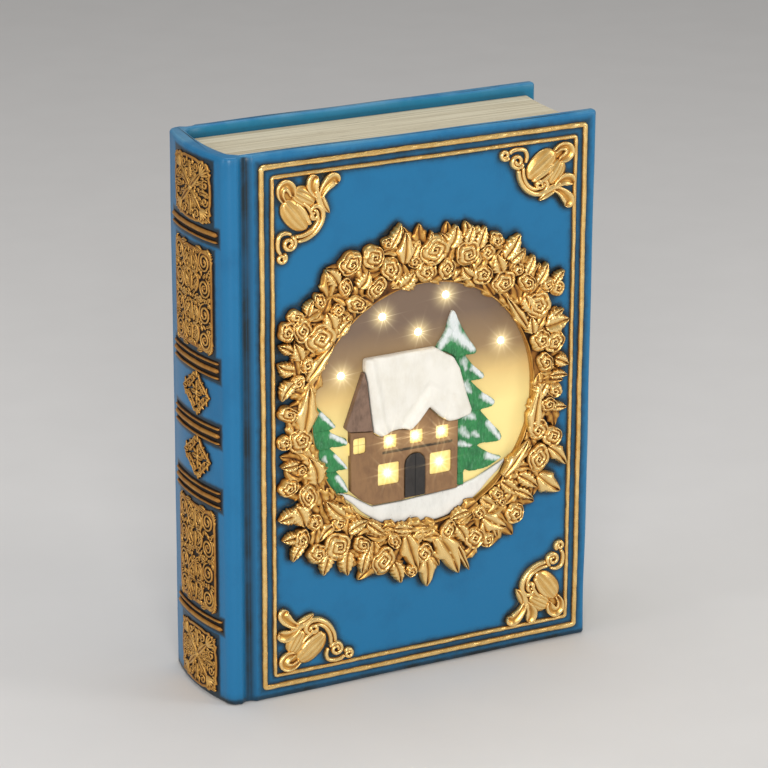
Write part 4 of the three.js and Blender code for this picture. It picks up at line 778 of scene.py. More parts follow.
def rounded_strand(form, path, widths, rise, sides=8):
    """A strand with blunt round ends, whose width runs through the given half widths."""
    count = len(path) - 1
    half_widths, half_heights = [], []
    for i in range(count + 1):
        share = i / count * (len(widths) - 1)
        low = min(int(share), len(widths) - 2)
        width = widths[low] + (widths[low + 1] - widths[low]) * (share - low)
        blunt = max(0.0, 1 - (1 - min(1.0, min(i, count - i) / 1.5)) ** 2) ** 0.5
        half_widths.append(width * blunt)
        half_heights.append(rise * blunt)
    strand(form, path, half_widths, half_heights, sides)


def bent_strand(form, places, steps, height, widths, rise, sides=8):
    """A rounded strand along a smooth run through the places."""
    rounded_strand(form, curve_path(places, steps, height), widths, rise, sides)


def add_lobe(form, start, end, half_width, rise, ribs, rib_depth=0.16, tip=1.0):
    """A full lobe from its start to its end, with ribs along it."""
    along, across = 16, 14
    start, end = Vector((*start, 0)), Vector((*end, 0))
    run = end - start
    side = left_of(run)

    def place(i, j):
        u, v = i / along, 2 * j / across - 1
        swell = max(0.015, 1 - abs(2 * u - 1) ** 2.2) ** 0.5 * (1 - (1 - tip) * u)
        point = start + run * u + side * v * half_width * swell
        dome = max(0.0, 1 - v * v * 0.92) ** 0.5 * (0.35 + 0.65 * swell)
        point.z = rise * (dome - rib_depth * (0.5 - 0.5 * math.cos(2 * math.pi * ribs * (v + 1) / 2)) * swell)
        return point

    close_below(form, moved_grid(form, along, across, place))


def close_below(form, verts, floor=sunk):
    """Drops a skin's open edge straight down to the floor and closes it underneath."""
    own = set(verts)
    rim = [edge for edge in form.edges if edge.is_boundary and edge.verts[0] in own]
    dropped = bmesh.ops.extrude_edge_only(form, edges=rim)["geom"]
    for vert in dropped:
        if isinstance(vert, bmesh.types.BMVert):
            vert.co.z = floor
    rim = [edge for edge in dropped if isinstance(edge, bmesh.types.BMEdge) and edge.is_boundary]
    bmesh.ops.edgeloop_fill(form, edges=rim)


def close_round(form, verts, floor=sunk):
    """Joins the seam and the middle of a skin that goes round, then closes it underneath."""
    weld(form, verts)
    close_below(form, [vert for vert in verts if vert.is_valid], floor)


def add_leaf(form, foot, tip, half_width, rise, teeth, bend, along=18, across=10):
    """A toothed leaf from its foot to its tip, with a groove down its middle and veins to its teeth."""
    run = tip - foot
    side = left_of(run)

    def place(i, j):
        u, v = i / along, 2 * j / across - 1
        tooth = 1 + 0.26 * (((u * teeth) % 1) ** 1.5 - 0.4) * min(1, 6 * u) * (1 if abs(v) > 0.7 else 0)
        width = half_width * max(0.02, math.sin(math.pi * (0.06 + 0.94 * u) ** 0.8)) ** 0.75 * tooth
        point = foot + run * u + side * (v * width + bend * half_width * math.sin(math.pi * u))
        cup = 0.30 * math.sin(math.pi * min(1.0, abs(v) * 1.05)) - 0.10 * abs(v) ** 3
        vein = 0.05 * math.sin(2 * math.pi * (u * teeth - 0.7 * abs(v))) * min(1.0, abs(v) * 2)
        point.z = rise * (0.50 + 0.18 * math.sin(math.pi * u) + cup + vein - 0.12 * u)
        return point

    close_below(form, moved_grid(form, along, across, place))


def tongue_leaf(form, places, half_width, rise):
    """A broad leaf along a bent run, hollow down its middle, with a thick rolled edge and a round tip."""
    path = curve_path(places, 5)
    along, across = len(path) - 1, 12

    def place(i, j):
        u, v = i / along, 2 * j / across - 1
        side = left_of(path[min(i + 1, along)] - path[max(i - 1, 0)])
        tip = 1 - max(0.0, (u - 0.62) / 0.38) ** 3
        swell = min(1.0, 0.42 + 1.1 * u) * max(0.03, tip) ** 0.5
        rolled = 0.52 + 0.44 * math.sin(0.5 * math.pi * min(1.0, abs(v) / 0.72)) ** 2 - 0.4 * max(0.0, abs(v) - 0.8)
        point = path[i] + side * v * half_width * swell
        point.z = rise * (rolled + 0.12 * math.sin(math.pi * u))
        return point

    close_below(form, moved_grid(form, along, across, place))


def corner_form():
    """The ornament for the top corner by the spine, from its corner, with X to the right and Y upwards."""
    form = bmesh.new()
    rise = corner_rise
    bud = [(3.6, -9.6), (1.8, -6.6), (2.0, -3.4), (4.4, -2.0), (6.6, -3.8), (7.6, -7.4)]
    left_leaf = [(19.4, -9.0), (17.6, -6.8), (16.6, -4.2), (17.0, -1.6), (18.6, 0.2)]
    right_leaf = [(20.0, -9.4), (21.8, -6.0), (24.2, -3.4), (26.6, -2.0), (28.6, -3.8)]
    for places, half_width in ((bud, 2.3), (left_leaf, 2.7), (right_leaf, 2.7)):
        tongue_leaf(form, places, half_width, rise * 0.9)
    add_leaf(form, Vector((20.8, -9.0, 0)), Vector((24.6, -16.6, 0)), 2.1, rise * 0.9, 1, -0.3)
    add_lobe(form, (3.2, -4.4), (6.8, -9.6), 2.2, rise * 0.40, 1, 0.0)
    add_lobe(form, (7.6, -5.4), (17.6, -11.6), 4.8, rise * 0.94, 5, 0.15)
    add_lobe(form, (3.6, -8.8), (14.0, -22.4), 5.7, rise * 0.92, 4, 0.13, 0.9)
    outer_stem = [(15.2, -14.9), (17.2, -12.9), (19.8, -13.2), (21.5, -15.9), (21.0, -19.8), (18.2, -23.8),
                  (13.8, -26.4), (9.2, -27.2)]
    inner_stem = [(19.0, -16.6), (18.9, -19.6), (16.6, -22.8), (12.6, -24.7), (8.2, -25.0)]
    hook = [(7.2, -23.8), (4.2, -22.9), (1.5, -23.9), (0.6, -26.8), (0.8, -29.8), (2.0, -31.8)]
    for places, steps, height, widths, share in (
        ([(8.6, -10.2), (12.2, -14.2), (15.6, -20.8)], 8, 1.2, [0.8, 1.35, 0.9], 0.55),
        ([(11.8, -10.2), (14.8, -13.4), (17.2, -18.6)], 8, 1.2, [0.6, 0.95, 0.7], 0.55),
        (outer_stem, 6, 0.45, [0.9, 1.15, 1.25, 1.3, 1.3, 1.25, 1.1, 0.9], 0.74),
        (inner_stem, 6, 0.45, [0.7, 1.0, 1.1, 1.0, 0.8], 0.74),
        (hook, 6, 0.3, [0.7, 0.95, 1.0, 1.0, 0.95, 0.85], 0.64),
        ([(18.2, -5.6), (19.5, -9.4), (20.9, -14.0)], 7, 0.5, [1.4, 1.8, 1.3], 0.66),
    ):
        bent_strand(form, places, steps, height, widths, rise * share)
    for run, widths, share in (
        (((17.0, -16.6), 2.3, 0.7, 0.30, -1.2, 16, 0.6), [0.9, 0.95, 0.8], 0.72),
        (((5.8, -27.7), 3.3, 0.7, 0.22, -1.6, 26, 0.4), [1.0, 1.0, 0.9, 0.8], 0.70),
        (((2.4, -33.7), 2.3, 0.6, 0.2, -1.4, 22, 0.35), [0.95, 0.9, 0.75], 0.64),
    ):
        rounded_strand(form, spiral_path(*run), widths, rise * share)
    return form


corner_gilt = gilt_finish("corner_gilt", 0.13, 2.0)
field_low, field_high = ([1000 * value for value in corner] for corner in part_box("inner_gold_line"))
field_corners = (
    ("spine_top", field_low[0], field_high[2]),
    ("edge_top", field_high[0], field_high[2]),
    ("edge_foot", field_high[0], field_low[2]),
    ("spine_foot", field_low[0], field_low[2]),
)
for quarter, (place_name, corner_x, corner_z) in enumerate(field_corners):
    ornament = corner_form()
    bmesh.ops.recalc_face_normals(ornament, faces=ornament.faces)
    mark_raised(ornament, 1.8, corner_rise, 0.5)
    step_in = line_width + corner_inset
    bmesh.ops.translate(ornament, vec=(step_in, -step_in, 0), verts=ornament.verts)
    bmesh.ops.rotate(ornament, matrix=Matrix.Rotation(-math.pi / 2 * quarter, 3, "Z"), verts=ornament.verts)
    to_front(ornament, corner_x, corner_z)
    finished_piece("gilt_corner_" + place_name, ornament, corner_gilt, "gold", "corner_ornament_" + place_name)


# Rose wreath. One casting round the window: crowded roses, buds, toothed leaves and long blades on a thin
# ring, modelled in clay for the mould, glued to the board and gilt with a dry brush.
# Places and sizes are shares of the window's radius, in thirty-seconds, from the window's middle.
rose_rise = 5.2
bed_rise = 1.5
rim_rise = 2.0
rose_growth = 1.22
leftmost = 42.7
nearest_rose = 32.5
nearest_leaf = 32.9
nearest_filler = 33.6
inner_leaf_ring = 34.0
inner_leaf_count = 58
filler_count = 190
filler_tries = 9000
filler_spacing = 2.6
rose_shares = [
    (-20.7, 39.9, 3.2), (-14.3, 40.6, 2.8), (-9.3, 37, 2.9), (-10.2, 43.6, 1.4), (-22.1, 33.8, 2.4),
    (-19.1, 28.8, 2.8), (-12.7, 31.6, 3), (-24.3, 27.9, 1.7), (-34.1, 24.2, 3), (-38.4, 24.2, 2.5),
    (-36, 27.8, 2), (-29.3, 31.1, 2), (-28.2, 20.4, 4), (-33.2, 14.9, 2.1), (-35.7, 10.6, 2),
    (-39.3, 2.2, 2.6), (-2.3, 37.9, 1.7), (0.9, 34.9, 2.7), (3.4, 39.9, 4), (13.1, 38.1, 3.3),
    (7, 34.7, 2.6), (18.8, 37.2, 2.1), (21.5, 40.4, 2), (17.4, 31.5, 2.7), (23.8, 28.8, 3.2),
    (27.9, 31.5, 1.7), (30.6, 27.4, 2.8), (36.8, 26.1, 1.9), (39.8, 24.8, 2.2), (34.5, 20.8, 3.4),
    (33.8, 10.6, 2.8), (39.5, 9.9, 2.9), (36.5, 4.7, 2.7), (-34.6, -5.2, 3.1), (-40.2, -5.2, 1.8),
    (-34.8, -13.4, 1.5), (-39.6, -17.3, 2.6), (-32.7, -20.7, 3.3), (-30.9, -28.2, 2.2), (-34.6, -32.3, 2.7),
    (-30.3, -37, 2.5), (-24.6, -36.1, 3.6), (-17.3, -37, 2.7), (-7.7, -37.3, 2.2), (-10.9, -42.5, 3.6),
    (-24.1, -29.8, 1.8), (-2.7, -46.8, 1.6), (39.9, -3.4, 2), (37.9, -7.3, 2.3), (34.3, -13.4, 2.7),
    (39.3, -16.4, 2.7), (35.4, -21.8, 3.6), (22, -29.1, 2), (24, -32, 1.3), (28.1, -36.1, 2.7),
    (17.4, -33.9, 1.8), (7.9, -36.1, 2.7), (16.1, -41.1, 2.7), (19.9, -42.2, 2), (1.1, -42.7, 2.6),
]
leaf_shares = [
    (-24.6, 35.1, -28.4, 39.5, 2), (-9.9, 42.6, -7.1, 49, 1.3), (-5.6, 38.1, -5.6, 46.4, 2.2),
    (-4.1, 38.6, -1.6, 43.8, 1.6), (1.7, 41.1, 1.8, 45.8, 0.9), (-18.3, 33.1, -16.3, 37.8, 2.2),
    (-33.3, 28.1, -32.1, 32.4, 1.2), (-37.6, 19.1, -41.5, 21.3, 1.3), (-37.1, 14.1, -41.9, 16.5, 1.7),
    (-35.1, 16.6, -37.3, 21.6, 1.8), (-37.1, 11.1, -41.1, 6.8, 1.7), (-26.1, 23.6, -28.3, 28.4, 2.3),
    (-6.6, 31.6, -3.1, 35.6, 2.3), (-24.3, 21.6, -21.1, 25.6, 1.6), (-33.3, 10.6, -25.9, 20.1, 1.7),
    (-34.4, -3.4, -33, 9.6, 2.6), (7.4, 40.3, 8.9, 46.4, 2.4), (6.4, 41.1, 4.4, 44.8, 1.3),
    (12.4, 40.6, 13.7, 45.7, 1.6), (15.9, 39.1, 17.5, 44.9, 1.8), (23.9, 35.1, 27.7, 41.5, 2.2),
    (25.4, 34.1, 28.9, 37.1, 1.8), (22.9, 31.6, 20.7, 37.1, 2.2), (13.9, 31.6, 10.7, 35.1, 1.8),
    (30.1, 30.1, 31.9, 35.3, 1.5), (33.4, 27.1, 36, 32.6, 1.5), (38.4, 26.1, 41.2, 29.9, 1.2),
    (36.4, 14.6, 43, 16.3, 2.6), (36.9, 16.1, 41.4, 19.3, 1.4), (39.4, 5.6, 43, 3.8, 1.6),
    (29.9, 24.1, 32.4, 19.1, 2), (32.4, 13.6, 31.4, 18.6, 1.8), (30.9, 15.1, 23.9, 25.1, 1.3),
    (37.9, 1.1, 42.7, 0.9, 1.2), (32.9, -15.4, 34.6, -0.4, 1.8), (38.4, -7.9, 42.9, -8.2, 1.2),
    (37.9, -18.9, 43, -24.4, 1.7), (34.9, -26.4, 41.3, -31.6, 2.4), (28.9, -25.4, 34.4, -29.4, 1.9),
    (23.9, -26.4, 28.9, -30.4, 1.9), (24.4, -24.9, 31.5, -15.4, 1.6), (27.9, -29.4, 33.2, -32.5, 1.4),
    (18.4, -35.4, 25.1, -39.2, 2.3), (4.9, -38.4, 10.7, -49.6, 2.9), (10.4, -41.4, 13.9, -49.4, 1),
    (1.1, -43.4, 1.1, -51.6, 2.2), (10.4, -36.4, 12.9, -41.4, 1.9), (-4.6, -36.4, -1.6, -46.4, 2.4),
    (-8.1, -43.4, -6.6, -49.2, 1.8), (-16.1, -38.4, -18.3, -44.4, 1.5), (-21.6, -37.9, -22.3, -44.2, 2),
    (-27.1, -37.4, -29.3, -42.9, 1.8), (-34.6, -32.9, -38.2, -37.4, 1.4), (-36.1, -31.4, -40.8, -31.4, 1.5),
    (-36.6, -24.9, -41.9, -25.7, 1.8), (-36.6, -22.9, -34.6, -28.4, 2.6), (-36.1, -11.4, -41.1, -11.2, 1.4),
    (-30.6, -17.4, -33.1, -9.9, 2.6), (-23.1, -27.9, -28.6, -22.4, 1.9), (-21.6, -32.4, -16.6, -29.9, 1.7),
    (-16.1, -30.9, -11.1, -34.9, 1.5), (-8.1, -33.9, -2.1, -34.9, 1.4), (13.9, -32.9, 7.9, -33.9, 1.4),
    (36.9, -0.9, 33.9, -5.4, 2),
]


def add_rose(form, x, y, radius, rise, hand, lean, turn, petals, turns):
    """A rose pressed flat from above: thin petal rims wound round its heart, with a lean to one side."""
    around, across = (44, 20) if radius > 4.4 else (34, 15)
    tilt = toward(turn)
    heart = tilt * radius * 0.14

    def place(i, j):
        angle = 2 * math.pi * (i % around) / around
        share = j / across
        wobble = 0.5 + 0.5 * math.cos(petals * angle + turn + 1.2 * share)
        reach = radius * share * (1 - 0.10 * wobble * wobble * min(1.0, share * 1.4))
        drift = 0.08 * math.sin(petals * angle + turn + 4 * share)
        wound = (turns * share ** 0.82 - hand * angle / (2 * math.pi) + drift) % 1
        rim = math.sin(math.pi * wound ** 0.8) ** 1.5
        petal = ((petals * angle + turn) / (2 * math.pi)) % 1
        overlap = 0.12 * (petal - 0.5) * min(1.0, max(0.0, share - 0.4) * 4)
        edge = max(0.0, (share - 0.86) / 0.14)
        top = 0.60 + 0.16 * math.sin(math.pi * min(1.0, 0.25 + share)) + 0.24 * rim * (1 - 0.25 * share) + overlap
        height = rise * (top * (1 - edge ** 2.5) + 0.12 * edge ** 2.5)
        if share < 0.1:
            height -= 0.10 * rise
        flat = toward(angle) * reach + heart * (1 - share)
        flat -= tilt * flat.dot(tilt) * lean
        height += flat.dot(tilt) * lean * 0.5
        return Vector((x, y, min(rise * 1.06, max(0.1, height)))) + flat

    close_round(form, moved_grid(form, around, across, place))


def bed_reach(angle):
    """How far the ring under the roses reaches at this turn, in shares."""
    across, upward = abs(math.cos(angle)), abs(math.sin(angle))
    return ((across / 36.6) ** 2.6 + (upward / 42.4) ** 2.6) ** (-1 / 2.6)


def rim_shift(angle):
    """How far the rim stands back at this turn: only at the foot, where the window is a little longer."""
    return hole_drop * max(0.0, -math.sin(angle)) ** 1.5


def add_bed(form):
    """The thin ring that carries the roses, with a rolled rim round the window."""
    rim = [(0.5, sunk), (0.5, rim_rise * 0.7), (0.7, rim_rise), (1.0, rim_rise), (1.3, rim_rise * 0.8),
           (1.7, bed_rise)]
    around = 260

    def place(i, j):
        angle = 2 * math.pi * (i % around) / around
        width = bed_reach(angle) * window_unit - window_radius
        section = rim + [(width - 2.5, bed_rise * 0.9), (width - 0.8, bed_rise * 0.8), (width, sunk)]
        step = j % len(section)
        out, z = section[step]
        if 1 < j < len(section) - 1:
            z += wavy((math.cos(angle) * 40, math.sin(angle) * 40, j), 3.2, 0.5)
        if step < len(rim):
            out += rim_shift(angle)
        return toward(angle) * (window_radius + out) + Vector((0, 0, z))

    weld(form, moved_grid(form, around, len(rim) + 3, place))


def filler_places(count, taken):
    """Spread places between the roses, for the small leaves that fill the wreath."""
    places = []
    for _ in range(filler_tries):
        angle = chance.uniform(0, 2 * math.pi)
        widest = bed_reach(angle) * 1.13 - 36.2
        spot = toward(angle) * (nearest_filler + widest * chance.uniform(0, 1))
        clear = all((spot - Vector((x, y, 0))).length > radius + 0.1 for x, y, radius in taken)
        if clear and all((spot - other).length > filler_spacing for other, _ in places):
            places.append((spot, angle))
        if len(places) == count:
            break
    return places


chance = random.Random(7)
# The places above were marked looking down on the front from its left, so what stands high is drawn back.
rose_drift = Vector((-1.2, 0.85, 0))
leaf_drift = Vector((-0.8, 0.6, 0))
wreath = bmesh.new()
add_bed(wreath)
for foot_x, foot_y, tip_x, tip_y, leaf_width in leaf_shares:
    foot = (Vector((foot_x, foot_y, 0)) + leaf_drift) * window_unit
    tip = (Vector((tip_x, tip_y, 0)) + 0.5 * leaf_drift) * window_unit
    rise = rose_rise * chance.uniform(0.80, 1.0)
    teeth = 2 if (tip - foot).length > 13 else 5
    add_leaf(wreath, foot, tip, leaf_width * window_unit * 1.2, rise, teeth, chance.uniform(-0.25, 0.25), 16, 10)
grown = [(x + rose_drift.x, y + rose_drift.y, radius * rose_growth) for x, y, radius in rose_shares]
for step in range(inner_leaf_count):
    angle = 2 * math.pi * (step + chance.uniform(-0.3, 0.3)) / inner_leaf_count
    out = toward(angle)
    spot = out * (inner_leaf_ring + 0.8 * max(0.0, -out.y) + rim_shift(angle) / window_unit + chance.uniform(0, 0.5))
    if all((spot - Vector((x, y, 0))).length > radius for x, y, radius in grown):
        turn = angle + chance.choice((-1, 1)) * math.pi / 2 + chance.uniform(-0.5, 0.5)
        heading = toward(turn) * chance.uniform(2.2, 2.9)
        foot, tip = (spot - heading) * window_unit, (spot + heading) * window_unit
        half_width, rise = chance.uniform(2.1, 2.6), rose_rise * chance.uniform(0.42, 0.60)
        add_leaf(wreath, foot, tip, half_width, rise, 2, chance.uniform(-0.3, 0.3), 12, 8)
for spot, angle in filler_places(filler_count, grown):
    turn = angle + chance.uniform(-1.5, 1.5)
    heading = toward(turn) * chance.uniform(5.2, 7.2) * 0.5
    foot, tip = spot - heading, spot + heading
    for end in (foot, tip):
        nearest = nearest_leaf + rim_shift(math.atan2(end.y, end.x)) / window_unit
        if end.length < nearest:
            end.length = nearest
    half_width, rise = chance.uniform(1.8, 2.5) * window_unit, rose_rise * chance.uniform(0.44, 0.66)
    teeth, bend = chance.choice((2, 3)), chance.uniform(-0.4, 0.4)
    add_leaf(wreath, foot * window_unit, tip * window_unit, half_width, rise, teeth, bend, 14, 10)
for rose_x, rose_y, rose_radius in rose_shares:
    radius = rose_radius * window_unit * rose_growth
    rise = rose_rise * (0.80 + 0.20 * rose_radius / 4)
    lean = chance.choice((0.0, 0.08, 0.15, 0.25)) if rose_radius > 1.8 else 0.0
    turns = 3.1 if rose_radius > 2.9 else 2.5 if rose_radius > 2.2 else 1.8
    spot = (Vector((rose_x, rose_y, 0)) + rose_drift) * window_unit
    nearest = nearest_rose * window_unit + rim_shift(math.atan2(spot.y, spot.x))
    if spot.length - radius < nearest:
        spot.length = nearest + radius
    spot.x = max(spot.x, radius - leftmost * window_unit)
    hand, turn, petals = chance.choice((-1, 1)), chance.uniform(0, 6.28), chance.choice((4, 5))
    add_rose(wreath, spot.x, spot.y, radius, rise, hand, lean, turn, petals, turns)
bmesh.ops.recalc_face_normals(wreath, faces=wreath.faces)
mark_raised(wreath, 2.0, rose_rise, 1.5)
to_front(wreath, window_x, window_z)
# The dark under the wreath's gold is umber paint with painted shade in the hollows.
wreath_gilt = gilt_finish("wreath_gilt", 0.03, 2.4, (0.030, 0.013, 0.005, 1))
finished_piece("gilt_rose_wreath", wreath, wreath_gilt, "gold", "rose_wreath")


# Spine ornaments. Thin castings bent to the spine: five sets of gilt bars, two scalloped end panels, two
# tall filigree panels and two openwork lozenges, glued on and gilt darker than the front, with blue-black
# wash and painted shade in their pits.
spine_rise = 1.45
web_rise = 0.45
band_half_width = 21.0
thick_bar, thin_bar, bar_gap = 3.3, 1.7, 1.4
bar_pitch = 0.82
spine_sunk = -0.2
filling_tries = 4000


def to_spine(form, y, z):
    """Bends a form drawn flat, facing up, round the spine at y from its middle and at this height."""
    for vert in form.verts:
        from_middle = y - vert.co.x
        vert.co = Vector((spine_face_x(from_middle) - vert.co.z + 0.1, middle_y + from_middle, z + vert.co.y))
    bmesh.ops.recalc_face_normals(form, faces=form.faces)


def add_plate(form, reach, top, around=96):
    """A thin web with a slightly raised edge, whose outline is reach(angle)."""
    steps = [(0.0, top), (0.3, top), (0.6, top), (0.86, top), (0.93, top * 2.0), (0.98, top * 2.1), (1.0, top * 0.6)]

    def place(i, j):
        angle = 2 * math.pi * (i % around) / around
        share, z = steps[j]
        x, y = reach(angle)
        return Vector((x * share, y * share, z))

    close_round(form, moved_grid(form, around, len(steps) - 1, place), spine_sunk)


def squarish(half_width, half_height, power, scallops=0, depth=0.0):
    def reach(angle):
        across, upward = math.cos(angle), math.sin(angle)
        trim = 1 - depth * (0.5 - 0.5 * math.cos(scallops * angle))
        return (half_width * trim * math.copysign(abs(across) ** (2 / power), across),
                half_height * trim * math.copysign(abs(upward) ** (2 / power), upward))
    return reach


def scroll(form, x, y, radius, start, turns, width=0.55, rise=spine_rise * 0.72):
    """A curl round a small boss."""
    steps = max(14, round(abs(turns) * 15))
    path = spiral_path((x, y), radius, radius * 0.18, start, turns, steps, web_rise * 0.5)
    rounded_strand(form, path, [width * 0.8, width, width * 0.7], rise, 6)
    boss(form, (x, y), radius * 0.2, rise * 0.9)


def boss(form, place, radius, rise=spine_rise):
    """A small round knob."""
    x, y = place
    add_lobe(form, (x - radius, y), (x + radius, y), radius, rise, 1, 0.0)


def small_leaf(form, foot, tip, half_width, rise=spine_rise):
    add_leaf(form, Vector((*foot, 0)), Vector((*tip, 0)), half_width, rise, 2, 0.0, 10, 6)


def finish_on_spine(name, form, node, by_height, gold_share=1.0):
    """Gilds an ornament and bends it round the spine, with the half towards the front drawn narrower."""
    bmesh.ops.recalc_face_normals(form, faces=form.faces)
    mark_raised(form, 2.2, spine_rise, by_height)
    raised = form.verts.layers.float["raised"]
    for vert in form.verts:
        vert[raised] *= gold_share
        vert.co.x *= spine_front_shares[node] if vert.co.x > 0 else 1.0
    middle, _ = middle_and_half(node)
    to_spine(form, 1000 * middle.y - middle_y, 1000 * middle.z)
    finished_piece(name, form, spine_gilt, "gold", node)


def half_size(node):
    """Half the width round the spine and half the height of a spine ornament, in millimetres."""
    _, half = middle_and_half(node)
    return 1000 * half.y, 1000 * half.z


def fill_between(form, half_width, half_height, taken, count):
    """Small leaves and curls, the same on both sides, wherever the larger work leaves the web bare."""
    placed = []
    for _ in range(filling_tries):
        x = spine_chance.uniform(0.6, half_width - 0.8)
        y = spine_chance.uniform(-half_height + 0.8, half_height - 0.8)
        if all(math.hypot(x - other[0], y - other[1]) > 1.65 for other in placed):
            if all(math.hypot(x - other[0], y - other[1]) > other[2] for other in taken):
                placed.append((x, y))
        if len(placed) == count:
            break
    for x, y in placed:
        turn, curl = spine_chance.uniform(0, 2 * math.pi), spine_chance.random() < 0.35
        for side in (-1, 1):
            if curl:
                path = spiral_path((x * side, y), 1.15, 0.35, 0.5 - side * turn / 6.3, 1.1 * side, 9, web_rise * 0.6)
                rounded_strand(form, path, [0.36, 0.42, 0.36], spine_rise * 0.62, 6)
                continue
            reach = Vector((math.cos(turn) * side, math.sin(turn), 0)) * 1.5
            spot = Vector((x * side, y, 0))
            add_leaf(form, spot - reach, spot + reach, 0.72, spine_rise * 0.9, 2, 0.0, 8, 6)


spine_chance = random.Random(3)
spine_gilt = gilt_finish("spine_gilt", -0.36, 1.3, black_wash_and_shade)

three_bars = (thin_bar, thick_bar, thin_bar)
band_bars = ((thick_bar, thin_bar), three_bars, three_bars, three_bars, (thin_bar, thick_bar))
for number, bars in enumerate(band_bars):
    node = "spine_band_%d" % (number + 1)
    _, half_height = half_size(node)
    band = bmesh.new()
    bmesh.ops.create_grid(band, x_segments=30, y_segments=4, size=1)
    bmesh.ops.scale(band, vec=(band_half_width - 0.3, half_height - 0.5, 1), verts=band.verts)
    bmesh.ops.translate(band, vec=(0, 0, 0.25), verts=band.verts)
    close_below(band, list(band.verts), spine_sunk)
    bar_top = half_height
    for bar in bars:
        bar_y = bar_pitch * (bar_top - bar / 2)
        path = [Vector((band_half_width * (i / 15 - 1), bar_y + wavy((i, number, bar_y), 5, 0.15), 0.1))
                for i in range(31)]
        rise = spine_rise * (0.95 if bar == thick_bar else 0.85)
        rounded_strand(band, path, [bar / 2 * 0.70, bar / 2 * 0.70], rise, 10)
        bar_top -= bar + bar_gap
    finish_on_spine("gilt_band_%d" % (number + 1), band, node, 2.2, 0.76)

for panel_end in ("top", "foot"):
    node = "spine_panel_" + panel_end
    half_width, half_height = half_size(node)
    panel = bmesh.new()
    add_plate(panel, squarish(half_width, half_height, 5, 20, 0.045), web_rise, 120)
    taken = [(0, 0, 2.2)]
    for side_x in (-1, 1):
        for side_y in (-1, 1):
            for foot, tip, width, share in (
                ((0.6, 0.6), (9.6, 8.2), 1.8, 1.0),
                ((3.4, 3.0), (4.6, 8.6), 1.1, 0.9),
                ((3.6, 2.6), (10.2, 3.8), 1.1, 0.9),
            ):
                foot, tip = (foot[0] * side_x, foot[1] * side_y), (tip[0] * side_x, tip[1] * side_y)
                small_leaf(panel, foot, tip, width, spine_rise * share)
            for rib in range(5):
                turn = math.pi / 4 + (rib - 2) * 0.30
                start = (8.7 * side_x, 7.0 * side_y)
                end = (start[0] + 6.4 * math.cos(turn) * side_x, start[1] + 5.4 * math.sin(turn) * side_y)
                add_lobe(panel, start, end, 0.85, spine_rise * 0.92, 1, 0.0)
            taken += [(4.6, 4.0 * side_y, 2.2), (7.6, 6.6 * side_y, 2.0), (11.5, 9.3 * side_y, 3.4)]
    for side in (-1, 1):
        for other in (-1, 1):
            scroll(panel, 5.4 * side, 9.9 * other, 2.3, 0.25 + 0.25 * side, 1.4 * side * other)
            scroll(panel, 12.6 * side, 3.6 * other, 2.2, 0.1, 1.4 * side * other)
            taken += [(5.4, 9.9 * other, 2.9), (12.6, 3.6 * other, 2.8)]
        small_leaf(panel, (0, 4.4 * side), (0, 12.0 * side), 1.6)
        small_leaf(panel, (8.8 * side, 0), (15.4 * side, 0), 1.3)
    boss(panel, (0, 0), 1.6)
    fill_between(panel, half_width * 0.92, half_height * 0.92, taken, 40)
    finish_on_spine("gilt_end_panel_" + panel_end, panel, node, 2.1)

for level in ("upper", "lower"):
    node = "spine_panel_" + level
    half_width, half_height = half_size(node)
    panel = bmesh.new()
    add_plate(panel, squarish(half_width, half_height, 14, 30, 0.02), web_rise, 160)
    cell_y = 2 * half_height / 4
    taken = []
    for row in range(4):
        y = -half_height + cell_y * (row + 0.5)
        up = 1 if row % 2 else -1
        for side in (-1, 1):
            scroll(panel, 11.6 * side, y, 4.7, 0.25 * side, 2.1 * side * up, 0.62)
            for foot, tip, width, share in (
                ((6.4, -3.2), (2.0, 1.6), 1.1, 1.0),
                ((9.2, 5.0), (4.4, 5.8), 1.0, 0.95),
                ((16.4, 3.4), (14.2, 6.2), 0.95, 0.95),
            ):
                foot, tip = (foot[0] * side, y + foot[1] * up), (tip[0] * side, y + tip[1] * up)
                small_leaf(panel, foot, tip, width, spine_rise * share)
            run = ((1.2, -5.6), (5.4, -4.9), (6.6, -0.8), (4.0, 3.2))
            run = [(across * side, y + rise * up) for across, rise in run]
            bent_strand(panel, run, 6, web_rise * 0.6, [0.5, 0.62, 0.62, 0.45], spine_rise * 0.8, 6)
        small_leaf(panel, (0, y - 4.4 * up), (0, y + 3.6 * up), 1.4)
        taken += [(11.6, y, 5.4), (0, y, 1.9), (5.4, y - 2.0, 1.6), (5.4, y + 2.0, 1.2)]
    fill_between(panel, half_width * 0.95, half_height * 0.96, taken, 70)
    finish_on_spine("gilt_filigree_" + level, panel, node, 2.1)

